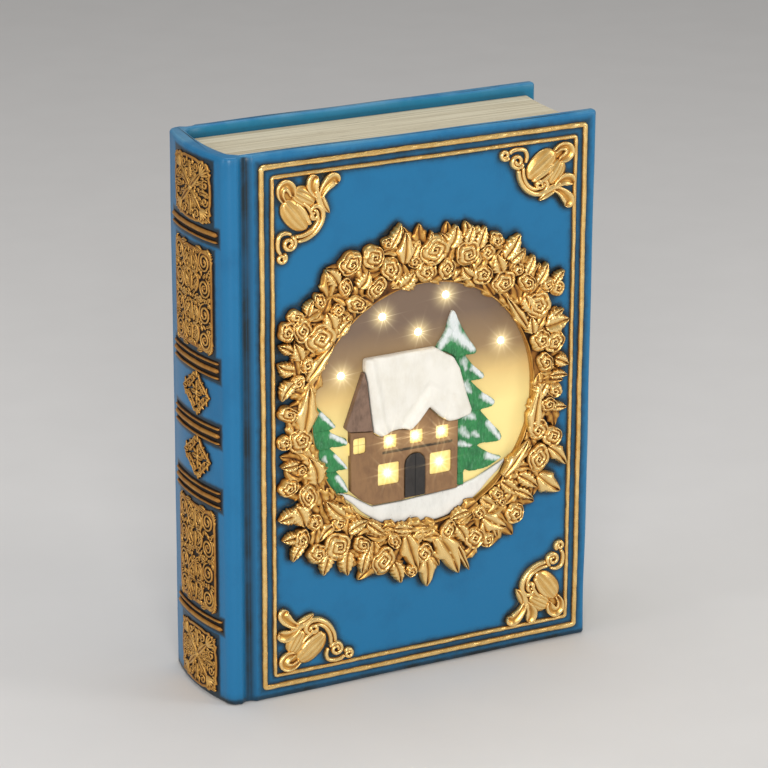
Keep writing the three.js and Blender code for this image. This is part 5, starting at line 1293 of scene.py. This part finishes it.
for level in ("upper", "lower"):
    node = "spine_lozenge_" + level
    half_width, half_height = half_size(node)
    lozenge = bmesh.new()
    for side in (-1, 1):
        small_leaf(lozenge, (0.8 * side, 0), (5.6 * side, 0), 1.0)
        small_leaf(lozenge, (0, 0.8 * side), (0, 5.0 * side), 1.0)
        for other in (-1, 1):
            outer = ((half_width * 0.90, 0.5), (half_width * 0.60, 3.0), (5.0, 5.0), (1.4, half_height * 0.90))
            inner = ((half_width * 0.62, 0.4), (4.6, 2.6), (1.2, half_height * 0.62))
            for run, widths, share in ((outer, [0.45, 0.6, 0.6, 0.45], 0.95), (inner, [0.35, 0.45, 0.35], 0.9)):
                run = [(across * side, rise * other) for across, rise in run]
                bent_strand(lozenge, run, 5, 0.1, widths, spine_rise * share, 6)
            for x, y, radius, start in ((6.8, 2.1, 1.7, 0.25), (3.0, 4.9, 1.6, 0.5)):
                scroll(lozenge, x * side, y * other, radius, start, 1.3 * side * other, 0.36, spine_rise * 0.9)
            for foot, tip, width in (
                ((half_width * 0.72, 1.2), (half_width * 0.80, 3.6), 0.6),
                ((1.0, half_height * 0.72), (3.4, half_height * 0.82), 0.6),
                ((5.2, 4.2), (7.6, 5.2), 0.6),
                ((1.6, 1.4), (4.2, 3.2), 0.5),
            ):
                small_leaf(lozenge, (foot[0] * side, foot[1] * other), (tip[0] * side, tip[1] * other), width)
        small_leaf(lozenge, (half_width * 0.70 * side, 0), (half_width * 0.99 * side, 0), 1.2)
        small_leaf(lozenge, (0, half_height * 0.66 * side), (0, half_height * 0.98 * side), 1.2)
    boss(lozenge, (0, 0), 1.4)
    for vert in lozenge.verts:
        vert.co.y = vert.co.y * 1.13 + 1.0
    finish_on_spine("gilt_lozenge_" + level, lozenge, node, 2.4)


# Sky. A thin disc behind the round window, sprayed from taupe at the top to pale yellow at the horizon,
# with ten holes for the lights. The whole disc glows faintly and glows brighter round each star: painted light.
star_shares = [(-11.1, 24.1), (7.3, 27.4), (-0.7, 18.5), (23.8, 12.5), (-23, 10)]
upper_window_shares = [(-9.6, -9.4), (-2, -9.2), (5.7, -9.2)]
lower_window_shares = [(-10.1, -18.2), (5.2, -17.6)]
light_shares = star_shares + upper_window_shares + lower_window_shares
sky_thickness = 2
sky_sides = 128
hole_sides = 20
light_hole_radius = 1.75
boss_radius = 2.8
boss_inset = 5.8
boss_foot, boss_top = panel_y + 1.8, panel_y + 4.3
boss_turns = (0.25, 0.58, 0.92)
sky_taupe = (0.150, 0.100, 0.068, 1)
sky_bronze = (0.270, 0.175, 0.085, 1)
sky_gold = (0.620, 0.440, 0.170, 1)
sky_yellow = (0.780, 0.640, 0.260, 1)
glow_colour = (1.0, 0.80, 0.42, 1)


def scene_spot(share_x, share_y):
    """A place of the cottage scene on the front, in millimetres."""
    return window_x + share_x * window_unit, window_z + share_y * window_unit


def glow_round(place, shares, reach_mm, power):
    """Light that falls round these places of the scene."""
    return sum(near_round(place, *scene_spot(*share), reach_mm) ** power for share in shares)


def sky_finish():
    # Painted light: the whole sky glows faintly though it is no lamp.
    material, shader, place = new_finish("sprayed_sky", Roughness=0.6, Emission_Strength=0.36)
    _, _, z = parts_of(place)
    height = (z - (window_z - window_radius) * mm) * (1000 / (2 * window_radius))
    height = height + (noise_of(place, 28.0, 4) - 0.5) * 0.16
    sky = ramp_of(height, (0.42, sky_yellow), (0.56, sky_gold), (0.68, sky_bronze), (0.84, sky_taupe))
    # Painted light: a glow round each star.
    lit = blend_of(least(glow_round(place, star_shares, 9.5, 2.6), 1.0), sky, glow_colour)
    set_shader(shader, Base_Color=lit, Emission_Color=lit)
    add_relief(shader, effect_of(shader, hand_cast, "Height", {0: 120.0, 1: 1500.0}), 0.12)
    return material


sky_form = drum_form(window_x, window_z, panel_radius, panel_y, panel_y + sky_thickness, sky_sides)
for light_share in light_shares:
    light_x, light_z = scene_spot(*light_share)
    hole = drum_form(light_x, light_z, light_hole_radius, panel_y - 1, panel_y + sky_thickness + 1, hole_sides)
    sky_form = cut_away(sky_form, hole)
for boss_turn in boss_turns:
    out = toward(2 * math.pi * boss_turn) * (panel_radius - boss_inset)
    pillar = drum_form(window_x + out.x, window_z + out.y, boss_radius, boss_foot, boss_top, hole_sides)
    sky_form = cut_away(sky_form, pillar, "UNION")
finished_piece("painted_sky", sky_form, sky_finish(), "sky", "sky_panel", sharp=40)


# Cottage, trees and snow. They are flat castings glued to the sky, soft from the mould and painted by hand:
# brown walls with lit windows, a thick snow roof, dark doors, green firs with snow brushed on their tips.
# Every paint is darker in its corners as painted shade, and the walls glow warm round the windows as painted light.
soft_grain = 0.5
fine_grain = 0.42
door_grain = 0.35
roof_white = (0.88, 0.86, 0.79, 1)
roof_shade = (0.78, 0.75, 0.66, 1)
ground_white = (0.86, 0.86, 0.82, 1)
ground_shade = (0.72, 0.72, 0.68, 1)
ground_speck = (0.10, 0.09, 0.08, 1)
wall_brown = (0.290, 0.158, 0.070, 1)
wall_dark = (0.200, 0.104, 0.048, 1)
fir_green = (0.030, 0.255, 0.075, 1)
fir_dark = (0.012, 0.130, 0.040, 1)
fir_pale = (0.160, 0.430, 0.230, 1)
frost_white = (0.80, 0.85, 0.86, 1)
gable_pale = (0.240, 0.150, 0.105, 1)
gable_dark = (0.120, 0.072, 0.048, 1)
door_dark = (0.030, 0.026, 0.024, 1)
door_black = (0.016, 0.014, 0.013, 1)


def softened(form, grain, relax):
    """A form as a rubber mould gives it back: an even skin, with its edges rounded off."""
    resize(form, mm)
    blank = new_object("blank", form)
    mould = blank.modifiers.new("mould", "REMESH")
    mould.mode = "VOXEL"
    mould.voxel_size = grain * mm
    form = form_of(blank)
    bpy.data.objects.remove(blank)
    resize(form, 1000)
    for _ in range(relax):
        bmesh.ops.smooth_vert(form, verts=form.verts, factor=0.5, use_axis_x=True, use_axis_y=True, use_axis_z=True)
    return form


def softened_copy(node, grain, relax):
    """A softened copy of a CAD node, in millimetres."""
    form = bmesh.new()
    form.from_mesh(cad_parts[node].data)
    resize(form, 1000)
    weld(form, distance=0.001)
    return softened(form, grain, relax)


def flat_casting(shares, thickness, grain, relax):
    """A softened flat piece with this outline, laid on the sky."""
    form = bmesh.new()
    outline = [form.verts.new((x, panel_y - 0.2, z)) for x, z in (scene_spot(*share) for share in shares)]
    raised_face = bmesh.ops.extrude_face_region(form, geom=[form.faces.new(outline)])["geom"]
    lifted = [item for item in raised_face if isinstance(item, bmesh.types.BMVert)]
    bmesh.ops.translate(form, vec=(0, -thickness, 0), verts=lifted)
    bmesh.ops.recalc_face_normals(form, faces=form.faces)
    return softened(form, grain, relax)


def scene_share(place):
    """A place on the front in shares of the scene."""
    return (place.x - window_x) / window_unit, (place.z - window_z) / window_unit


def push_out(form, lift):
    """Moves the front of a casting out of the book by lift(share_x, share_y)."""
    form.normal_update()
    back = max(vert.co.y for vert in form.verts)
    depth = back - min(vert.co.y for vert in form.verts)
    for vert in form.verts:
        front_share = (back - vert.co.y) / depth
        vert.co.y -= lift(*scene_share(vert.co)) * front_share ** 2


def soft_step(value, low, high):
    share = min(1.0, max(0.0, (value - low) / (high - low)))
    return share * share * (3 - 2 * share)


def painted_finish(name, dark, light, roughness, depth_mm, grain, spots=None):
    """Hand-painted plaster: uneven paint between two tones, with brush marks, darkened in the corners by painted
    shade.
    """
    material, shader, place = new_finish(name, Roughness=roughness)
    marks = noise_of(stretched(place, 1.0, 1.0, 0.35), grain * 4, 4, 0.7)
    tone = marks * 0.5 + noise_of(place, grain, 3) * 0.5
    # Painted shade in the corners, found by ambient occlusion.
    corner_shade = ramp_of(shade_in_crevices(shader, 2.5), (0.15, 0.0), (0.8, 0.8))
    corner_shade_colour = tuple(0.35 * value for value in dark[:3]) + (1,)
    paint = blend_of(corner_shade, ramp_of(tone, (0.34, dark), (0.56, light)), corner_shade_colour)
    if spots:
        paint = blend_of(ramp_of(noise_of(place, 620.0), (0.70, 0.0), (0.75, 1.0)), paint, spots)
    set_shader(shader, Base_Color=paint)
    add_relief(shader, tone, depth_mm)
    return material, shader, place, paint


def roof_lift(share_x, share_y):
    """The snow's rolled left edge and the fold over the front gable, with slow lumps."""
    def ridge(distance, width):
        return math.exp(-((distance / width) ** 2))

    from_left = share_x - (-17 + 4.4 * (14.1 - share_y) / 21.6)
    lip = 0.9 * ridge(from_left - 1.2, 1.0) - 0.35 * ridge(from_left - 3.2, 1.0)
    from_peak = abs(share_x - 1.4)
    above = share_y + 1.4 + from_peak * (1.15 if share_x < 1.4 else 0.62)
    fold = (1.25 * soft_step(above, 5.6, 2.6) - 0.4 * ridge(above - 6.0, 0.9)) * soft_step(from_peak, 10.5, 7.0)
    foot = 0.5 * soft_step(share_y, -3.4, -5.6)
    return lip + fold + foot + wavy((share_x, share_y, 5), 3.4, 0.5) - 0.8


def ground_lift(share_x, share_y):
    """The drift at the foot of the window, with slow lumps."""
    return 0.3 * soft_step(share_y, -27, -31) + wavy((share_x, share_y, 2), 6, 0.15) - 0.15


roof_form = softened_copy("snow_roof", soft_grain, 5)
push_out(roof_form, roof_lift)
snow_finish, *_ = painted_finish("snow_paint", roof_shade, roof_white, 0.6, 0.10, 60.0)
finished_piece("snow_roof_casting", roof_form, snow_finish, "snow", "snow_roof")

ground_finish, *_ = painted_finish("ground_snow_paint", ground_shade, ground_white, 0.6, 0.12, 90.0, ground_speck)
ground_form = softened_copy("snow_ground", soft_grain, 3)
for vert in ground_form.verts:
    vert.co.z -= hole_drop * soft_step(scene_share(vert.co)[1], -25, -30)
push_out(ground_form, ground_lift)
finished_piece("snow_ground_casting", ground_form, ground_finish, "snow", "snow_ground")


def box_mask(place, share_x, share_y, half_width, half_height, soft):
    """1 inside an upright box of the scene, fading to 0 over the soft share outside it."""
    x, _, z = parts_of(place)
    middle_x, middle_z = scene_spot(share_x, share_y)
    unit = window_unit * mm
    out_x = abs(x - middle_x * mm) / unit - half_width
    out_z = abs(z - middle_z * mm) / unit - half_height
    return most(1.0 - most(most(out_x, out_z), 0.0) / soft, 0.0)


def wall_finish():
    material, shader, place, paint = painted_finish("wall_paint", wall_dark, wall_brown, 0.6, 0.14, 120.0)
    ragged = ramp_of(noise_of(place, 500.0, 3), (0.34, 0.55), (0.46, 1.0))
    balcony = box_mask(place, -1.8, -12.1, 10.2, 0.26, 0.22) * ragged
    # Painted light: the walls glow warm round the lit windows, though they are no lamp.
    glow = glow_round(place, upper_window_shares, 9.5, 1.8) + glow_round(place, lower_window_shares, 7.0, 1.8)
    warm = blend_of(least(glow, 1.0), (0, 0, 0, 1), (0.80, 0.50, 0.20, 1))
    paint = blend_of(balcony, paint, (0.012, 0.011, 0.009, 1))
    set_shader(shader, Base_Color=paint, Emission_Color=warm, Emission_Strength=0.6)
    return material


walls_form = softened_copy("house_walls", fine_grain, 2)
finished_piece("house_walls_casting", walls_form, wall_finish(), "brown", "house_walls")

gable_finish, *_ = painted_finish("gable_paint", gable_dark, gable_pale, 0.7, 0.35, 210.0)
gable_form = softened_copy("side_gable", fine_grain, 2)
finished_piece("side_gable_casting", gable_form, gable_finish, "brown", "side_gable")

door_finish, door_shader, door_place, door_paint = painted_finish(
    "door_paint", door_black, door_dark, 0.5, 0.2, 140.0)
door_line = box_mask(door_place, -2.4, -20, 0.10, 8.0, 0.14)
set_shader(door_shader, Base_Color=blend_of(door_line, door_paint, (0.003, 0.003, 0.003, 1)))
door_form = softened_copy("front_door", door_grain, 2)
finished_piece("front_door_casting", door_form, door_finish, "dark_paint", "front_door")


def pane_finish():
    material, shader, place = new_finish("lit_pane", Roughness=0.35, Emission_Strength=0.55)
    tint = ramp_of(noise_of(place, 240.0, 3), (0.3, (0.74, 0.56, 0.16, 1)), (0.7, (0.84, 0.68, 0.27, 1)))
    cross = most(box_mask(place, -18.6, -9.2, 0.05, 4, 0.16), box_mask(place, -18.6, -9.2, 3, 0.05, 0.16))
    tint = blend_of(cross * 0.75, tint, (0.36, 0.36, 0.12, 1))
    # Painted light: the panes glow, brightest where the window lights stand behind them.
    behind = glow_round(place, upper_window_shares + lower_window_shares, 3.4, 1.5)
    painted_glow = blend_of(least(behind, 1.0), tint, (4.4, 3.6, 2.2, 1))
    painted_glow = blend_of(ramp_of(behind, (0.78, 0.0), (0.86, 1.0)), painted_glow, (75.0, 57.0, 31.0, 1))
    set_shader(shader, Base_Color=tint, Emission_Color=painted_glow)
    return material


give(pane_finish(), "window_sheet")


# Firs. Two flat castings with drooping tiers of branches, painted green with a stiff brush. Snow is brushed
# on the apex, on the tip of each branch and thinly over the boughs.
fir_thickness = 2.1
right_fir_shares = [
    (8.7, 23.2), (7.5, 20.4), (6.9, 18.0), (5.6, 16.0), (4.2, 14.2), (3.9, 13.2), (4.6, 12.6), (6.4, 12.4),
    (8.9, 11.0), (10.6, 7.7), (12.5, 0.9), (14.3, -4.2), (13.8, -6.0), (10.5, -6.8), (10.5, -25.2),
    (12.5, -25.3), (12.6, -21.0), (14.2, -21.9), (15.6, -22.0), (17.6, -21.9), (19.6, -21.6), (21.6, -20.8),
    (23.6, -19.7), (23.9, -19.3), (22.6, -18.9), (20.6, -18.0), (18.4, -16.6), (16.2, -14.9), (18.4, -14.6),
    (20.6, -14.9), (22.4, -15.0), (23.6, -14.6), (23.9, -13.7), (23.2, -12.2), (21.4, -10.2), (19.4, -7.9),
    (17.2, -5.3), (19.0, -5.1), (20.6, -4.8), (21.5, -4.1), (21.5, -3.2), (20.4, -2.2), (18.4, -0.9),
    (16.4, 1.0), (14.3, 3.2), (16.0, 3.1), (17.6, 3.3), (18.4, 3.9), (18.1, 4.7), (16.8, 5.8), (15.0, 7.4),
    (12.5, 10.6), (14.0, 10.4), (15.4, 10.5), (16.0, 11.2), (15.4, 12.4), (13.8, 14.6), (12.0, 17.6),
    (10.6, 20.4), (9.5, 22.9),
]
left_fir_shares = [
    (-33.8, 5.6), (-31.6, 4.6), (-30.2, 2.9), (-28.4, 1.0), (-26.6, -0.8), (-25.0, -2.9), (-25.4, -3.4),
    (-27.3, -3.5), (-26.0, -4.8), (-24.0, -5.9), (-22.0, -6.9), (-21.6, -8.0), (-22.2, -8.7), (-24.6, -8.8),
    (-27.3, -8.2), (-25.6, -9.9), (-24.0, -11.6), (-22.4, -13.6), (-21.6, -15.1), (-22.8, -15.3), (-25.4, -14.9),
    (-24.0, -16.4), (-22.6, -18.4), (-21.6, -20.6), (-21.7, -21.6), (-24.6, -21.4), (-33.8, -21.4),
]
# Each streak of snow gives its two ends and how far it spreads.
right_snow = [
    (8.8, 22.6, 9.6, 16.4, 3.0), (9.6, 17.0, 14.6, 12.2, 2.3), (8.0, 17.6, 5.2, 13.9, 1.9),
    (15.2, 6.6, 17.6, 4.0, 1.3), (18.4, -1.6, 20.9, -3.7, 1.5), (20.0, -9.4, 23.1, -14.0, 1.3),
    (19.8, -18.4, 22.8, -19.7, 1.4),
]
left_snow = [
    (-29.2, 1.0, -25.6, -3.0, 0.9), (-26.0, -5.2, -22.2, -7.8, 1.15), (-25.0, -11.0, -21.9, -14.8, 0.95),
    (-24.6, -17.0, -22.0, -20.8, 0.95),
]
right_dabs = [
    (12.3, 9.0, 12.9, 6.8, 1.4), (12.8, 2.4, 14.0, 0.2, 1.5), (13.0, -5.6, 15.4, -7.2, 1.7),
    (12.0, -10.2, 13.6, -12.0, 1.4), (15.4, -11.4, 16.6, -12.4, 1.1), (11.4, -13.6, 14.4, -14.8, 1.2),
]
left_dabs = [(-28.4, -11.4, -27.8, -12.2, 1.0)]


def fir_finish():
    material, shader, place, paint = painted_finish("fir_paint", fir_dark, fir_green, 0.5, 0.35, 190.0)
    turned = {"Rotation": (0, 0.75, 0), "Scale": (1.7, 1.0, 0.35), "Vector": place}
    bristles = noise_of(signal(place.tree, "ShaderNodeMapping", turned), 700.0, 4, 0.7)
    paint = blend_of(ramp_of(bristles, (0.52, 0.0), (0.68, 0.45)), paint, fir_pale)
    frost = ramp_of(own_value(shader, "snow") + (bristles - 0.5) * 0.9, (0.08, 0.0), (0.78, 0.96))
    set_shader(shader, Base_Color=blend_of(frost, paint, frost_white))
    return material


def share_from_streak(x, y, streak):
    """1 on a streak, fading to 0 at the edge of its spread and below."""
    start, end, spread, spot = Vector(streak[:2]), Vector(streak[2:4]), streak[4], Vector((x, y))
    run = end - start
    along = min(1.0, max(0.0, (spot - start).dot(run) / run.length_squared))
    return 1 - (spot - start - run * along).length / (spread * (1.15 - 0.5 * along))


def fir(name, node, shares, tiers, streaks, dabs):
    form = flat_casting(shares, fir_thickness, fine_grain, 2)
    snow = form.verts.layers.float.new("snow")

    def boughs(share_x, share_y):
        below = max([tier for tier in tiers if tier <= share_y], default=tiers[-1])
        above = min([tier for tier in tiers if tier > share_y], default=tiers[0])
        up = (share_y - below) / max(0.1, above - below)
        rough = wavy((share_x * 2.2, share_y, 4), 1.1, 0.5) + wavy((share_x, share_y, 9), 4.0, 0.3)
        return 0.75 * (1 - min(1.0, up)) ** 1.6 + rough - 0.5

    push_out(form, boughs)
    for vert in form.verts:
        share_x, share_y = scene_share(vert.co)
        ragged = noise.noise(Vector((share_x * 1.4, share_y * 0.9, 1))) * 0.22
        frost = max(1.05 * share_from_streak(share_x, share_y, streak) for streak in streaks)
        dab = max(0.75 * share_from_streak(share_x, share_y, streak) for streak in dabs)
        vert[snow] = max(frost, dab) + ragged
    finished_piece(name, form, fir_paint, "green", node)


fir_paint = fir_finish()
fir("right_fir_casting", "right_tree", right_fir_shares, (24, 10.6, 3.2, -5.0, -14.8, -21.9, -26), right_snow,
    right_dabs)
fir("left_fir_casting", "left_tree", left_fir_shares, (6, -3.5, -8.6, -15.1, -21.5), left_snow, left_dabs)


# Lights. Ten warm 3 mm LEDs soldered to a round board behind the sky, five as stars and five at the
# windows, each a clear dome pushed through its hole.
led_length = 5.3
led_radius = 1.5
led_flange = 1.9
led_flange_height = 1
led_proud = 1
led_sides = 24
dome_steps = 6


def led_finish():
    material, shader, place = new_finish("led_dome", Roughness=0.12, IOR=1.45)
    warm = ramp_of(noise_of(place, 900.0), (0.3, (1.0, 0.80, 0.48, 1)), (0.7, (1.0, 0.88, 0.62, 1)))
    strength = own_value(shader, "hot") ** 2.0 * 120.0 + 5.0
    set_shader(shader, Base_Color=warm, Emission_Color=warm, Emission_Strength=strength)
    return material


led_glow = led_finish()
led_shoulder = led_length - led_radius
led_outline = [(0, 0), (led_flange, 0), (led_flange, led_flange_height), (led_radius, led_flange_height),
               (led_radius, led_shoulder)]
for step in range(1, dome_steps + 1):
    turned = toward(step * math.pi / (2 * dome_steps)) * led_radius
    led_outline.append((turned.x, led_shoulder + turned.y))
for number, light_share in enumerate(light_shares):
    dome = spun(led_outline, led_sides)
    hot = dome.verts.layers.float.new("hot")
    for vert in dome.verts:
        vert[hot] = 1.0 if vert.co.z > led_length - 0.01 else 0.0
    to_front(dome, *scene_spot(*light_share), panel_y + led_length - led_proud)
    node = "led_%d" % (number + 1)
    finished_piece("warm_" + node, dome, led_glow, "led", node, sharp=50)


# Battery box. Moulded in black plastic with a spark-eroded grain: a flange let into the back board, a tray
# for three AA cells, a hinged door with a thumb notch and a slide switch, held by four screws.
def moulded_finish(name, colour, roughness):
    """Moulded plastic: fine spark grain and a little dust in paler patches."""
    material, shader, place = new_finish(name)
    wide = noise_of(place, 90.0, 4)
    pale = tuple(min(1.0, value * 1.5 + 0.012) for value in colour[:3]) + (1,)
    dull = ramp_of(wide, (0.3, roughness), (0.7, min(1.0, roughness + 0.15)))
    set_shader(shader, Base_Color=ramp_of(wide, (0.35, colour), (0.72, pale)), Roughness=dull)
    add_relief(shader, noise_of(place, 2600.0), 0.05)
    return material


def metal_finish(name, colour, roughness):
    """Plated steel with fine drawn lines."""
    material, shader, place = new_finish(name, Metallic=1.0, Roughness=roughness)
    lines = noise_of(stretched(place, 1.0, 1.0, 0.08), 3800.0)
    dull = tuple(0.7 * value for value in colour[:3]) + (1,)
    set_shader(shader, Base_Color=ramp_of(lines, (0.3, dull), (0.7, colour)))
    add_relief(shader, lines, 0.01)
    return material


def cell_finish():
    material, shader, place = new_finish("cell_jacket", Roughness=0.28, Coat_Weight=0.4)
    shade = noise_of(place, 60.0)
    silver = ramp_of(shade, (0.3, (0.30, 0.31, 0.33, 1)), (0.7, (0.42, 0.43, 0.45, 1)))
    set_shader(shader, Base_Color=silver, Metallic=ramp_of(shade, (0.2, 0.55), (0.8, 0.75)))
    return material


give(moulded_finish("box_black", (0.018, 0.018, 0.019, 1), 0.5), "battery_box")
door_plastic = moulded_finish("door_black", (0.020, 0.020, 0.021, 1), 0.45)
give(door_plastic, "battery_door")
give(moulded_finish("slider_black", (0.03, 0.03, 0.03, 1), 0.4), "switch_slider")
give(moulded_finish("board_green", (0.020, 0.120, 0.045, 1), 0.35), "led_board")
give(moulded_finish("red_lead", (0.42, 0.02, 0.015, 1), 0.4), "wire_plus")
give(moulded_finish("black_lead", (0.02, 0.02, 0.02, 1), 0.4), "wire_minus")
cell_jacket = cell_finish()
plated_steel = metal_finish("plated_steel", (0.62, 0.63, 0.64, 1), 0.3)
give(plated_steel, "contact_minus", "contact_plus", "contact_bridge_1", "contact_bridge_2", "switch_body",
     "board_screw_1", "board_screw_2", "board_screw_3")


def to_back(form, x, y, z):
    """Stands a form drawn flat, facing up, against the back at this place."""
    upright = Matrix(((-1, 0, 0, x), (0, 0, 1, y), (0, 1, 0, z), (0, 0, 0, 1)))
    bmesh.ops.transform(form, matrix=upright, verts=form.verts)
    bmesh.ops.recalc_face_normals(form, faces=form.faces)


# Cells. Three AA cells, drawn steel cans with a silver sleeve shrunk round them, laid loose in the tray
# with the nubs to either side in turn.
cell_half_length = 24.6
cell_outline = [
    (0, -cell_half_length), (6.2, -cell_half_length), (6.8, -24.4), (7.1, -23.9), (7.1, 23.9), (6.8, 24.4),
    (6.2, cell_half_length), (2.7, cell_half_length), (2.7, 25.4), (2.5, 25.6), (0, 25.6),
]
for number in range(1, 4):
    node = "battery_%d" % number
    cell = spun(cell_outline, 64)
    middle, half = middle_and_half(node)
    nub_side = 1 if middle.x > 0 else -1
    bmesh.ops.rotate(cell, matrix=Matrix.Rotation(math.radians(90 * nub_side), 3, "Y"), verts=cell.verts)
    low_end = 1000 * (middle.x - nub_side * half.x)
    cell_place = (low_end + nub_side * cell_half_length, 1000 * middle.y, 1000 * middle.z)
    bmesh.ops.translate(cell, vec=cell_place, verts=cell.verts)
    bmesh.ops.recalc_face_normals(cell, faces=cell.faces)
    finished_piece("smooth_cell_%d" % number, cell, cell_jacket, "cell_jacket", node, sharp=35)


# Grip ribs. Five low ribs below the thumb notch, moulded in one with the door and of its black plastic,
# so that a thumb can push it down.
grip_half_width = 6.0
grip_pitch = 1.5
_, door_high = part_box("battery_door")
ribs = bmesh.new()
for rib in range(5):
    rib_y = -2.6 - grip_pitch * rib
    path = [Vector((grip_half_width * (i / 10 - 1), rib_y, 0)) for i in range(21)]
    rounded_strand(ribs, path, [0.38, 0.38], 0.34, 10)
to_back(ribs, 0.0, 1000 * door_high[1], 1000 * door_high[2])
finished_piece("door_grip_ribs", ribs, door_plastic, "box_plastic", body="battery_door")


# Box screws. Four plated steel screws with pan heads and a cross recess, driven through the corners of
# the flange into the casting, with their heads sunk flush.
screw_outline = [
    (0, 0), (1.5, -0.04), (2.15, -0.25), (2.45, -0.7), (2.45, -1.45), (1.15, -1.5), (1.15, -7.0), (0.25, -7.9),
    (0, -7.9),
]
for number in range(1, 5):
    node = "box_screw_%d" % number
    screw = spun(screw_outline, 32)
    bmesh.ops.recalc_face_normals(screw, faces=screw.faces)
    for half_x, half_y in ((1.35, 0.3), (0.3, 1.35)):
        screw = cut_away(screw, box_form((-half_x, -half_y, -0.9), (half_x, half_y, 0.5)))
    bmesh.ops.rotate(screw, matrix=Matrix.Rotation(math.radians(23 + 37 * number), 3, "Z"), verts=screw.verts)
    middle, half = middle_and_half(node)
    to_back(screw, 1000 * middle.x, 1000 * (middle.y + half.y), 1000 * middle.z)
    finished_piece("crossed_screw_%d" % number, screw, plated_steel, "steel", node, sharp=35)


# Studio. A plain pale floor and soft lamps, with the camera where the photograph was taken from.
camera_place = Vector((-0.6547, -1.24365, 0.61621))
camera_turn = math.radians(-27.82)
camera_lift = math.radians(19.22)
camera_roll = math.radians(0.24)
camera_lens = 159.6
floor_half = 3.0
floor_grey = (0.70, 0.69, 0.68, 1)
floor_pale = (0.74, 0.73, 0.72, 1)


def floor_finish():
    material, shader, place = new_finish("studio_floor", Roughness=0.8)
    set_shader(shader, Base_Color=blend_of(noise_of(place, 25.0, 3), floor_grey, floor_pale))
    return material


floor_form = bmesh.new()
bmesh.ops.create_grid(floor_form, x_segments=2, y_segments=2, size=floor_half)
studio_floor = new_object("studio_floor", floor_form)
studio_floor.data.materials.append(floor_finish())


def add_lamp(name, place, aim, power, width, height, colour):
    lamp = bpy.data.lights.new(name, "AREA")
    lamp.shape = "RECTANGLE"
    lamp.size = width
    lamp.size_y = height
    lamp.energy = power
    lamp.color = colour
    holder = bpy.data.objects.new(name, lamp)
    holder.location = place
    holder.rotation_euler = (Vector(aim) - Vector(place)).to_track_quat("-Z", "Y").to_euler()
    bpy.context.scene.collection.objects.link(holder)


book_middle = (0, 0, 0.12)
add_lamp("front_left_lamp", (-0.75, -1.5, 0.72), book_middle, 17, 0.7, 0.7, (1.0, 0.97, 0.93))
add_lamp("spine_lamp", (-1.6, -0.1, 0.6), book_middle, 4.6, 0.35, 0.9, (0.97, 0.98, 1.0))
add_lamp("right_lamp", (1.3, -1.1, 0.7), book_middle, 7, 0.5, 1.0, (1.0, 0.98, 0.95))
add_lamp("top_lamp", (0.0, 0.1, 1.6), book_middle, 9, 1.0, 1.0, (1.0, 1.0, 1.0))

world = bpy.data.worlds.new("studio_air")
world.use_nodes = True
feed(world.node_tree.nodes["Background"], {"Color": (0.78, 0.77, 0.76, 1), "Strength": 0.38})
bpy.context.scene.world = world

backward = Vector((
    math.sin(camera_turn) * math.cos(camera_lift),
    -math.cos(camera_turn) * math.cos(camera_lift),
    math.sin(camera_lift),
))
level_right = Vector((math.cos(camera_turn), math.sin(camera_turn), 0))
level_up = backward.cross(level_right)
right = level_right * math.cos(camera_roll) + level_up * math.sin(camera_roll)
upward = level_up * math.cos(camera_roll) - level_right * math.sin(camera_roll)
camera_data = bpy.data.cameras.new("photo_camera")
camera_data.lens = camera_lens
camera_data.sensor_width = 36
photo_camera = bpy.data.objects.new("photo_camera", camera_data)
turned = Matrix((right, upward, backward)).transposed().to_4x4()
photo_camera.matrix_world = Matrix.Translation(camera_place) @ turned
bpy.context.scene.collection.objects.link(photo_camera)
bpy.context.scene.camera = photo_camera
bpy.context.scene.view_settings.view_transform = "Standard"

# The lights flare as they do in a photograph: two sets of six thin rays, the second turned and shorter.
bpy.context.scene.use_nodes = True
picture = bpy.context.scene.node_tree
picture.nodes.clear()
taken_picture = picture.nodes.new("CompositorNodeRLayers")
printed_picture = picture.nodes.new("CompositorNodeComposite")
last_picture = taken_picture.outputs["Image"]
for streaks, turn, fade, strength in ((6, 0.25, 0.84, 0.72), (6, 0.77, 0.78, 0.55)):
    rays = picture.nodes.new("CompositorNodeGlare")
    rays.glare_type = "STREAKS"
    rays.quality = "HIGH"
    feed(rays, {"Threshold": 8.0, "Strength": strength, "Streaks": streaks, "Streaks Angle": turn,
                "Iterations": 3, "Fade": fade, "Color Modulation": 0.0})
    picture.links.new(last_picture, rays.inputs["Image"])
    last_picture = rays.outputs["Image"]
picture.links.new(last_picture, printed_picture.inputs["Image"])
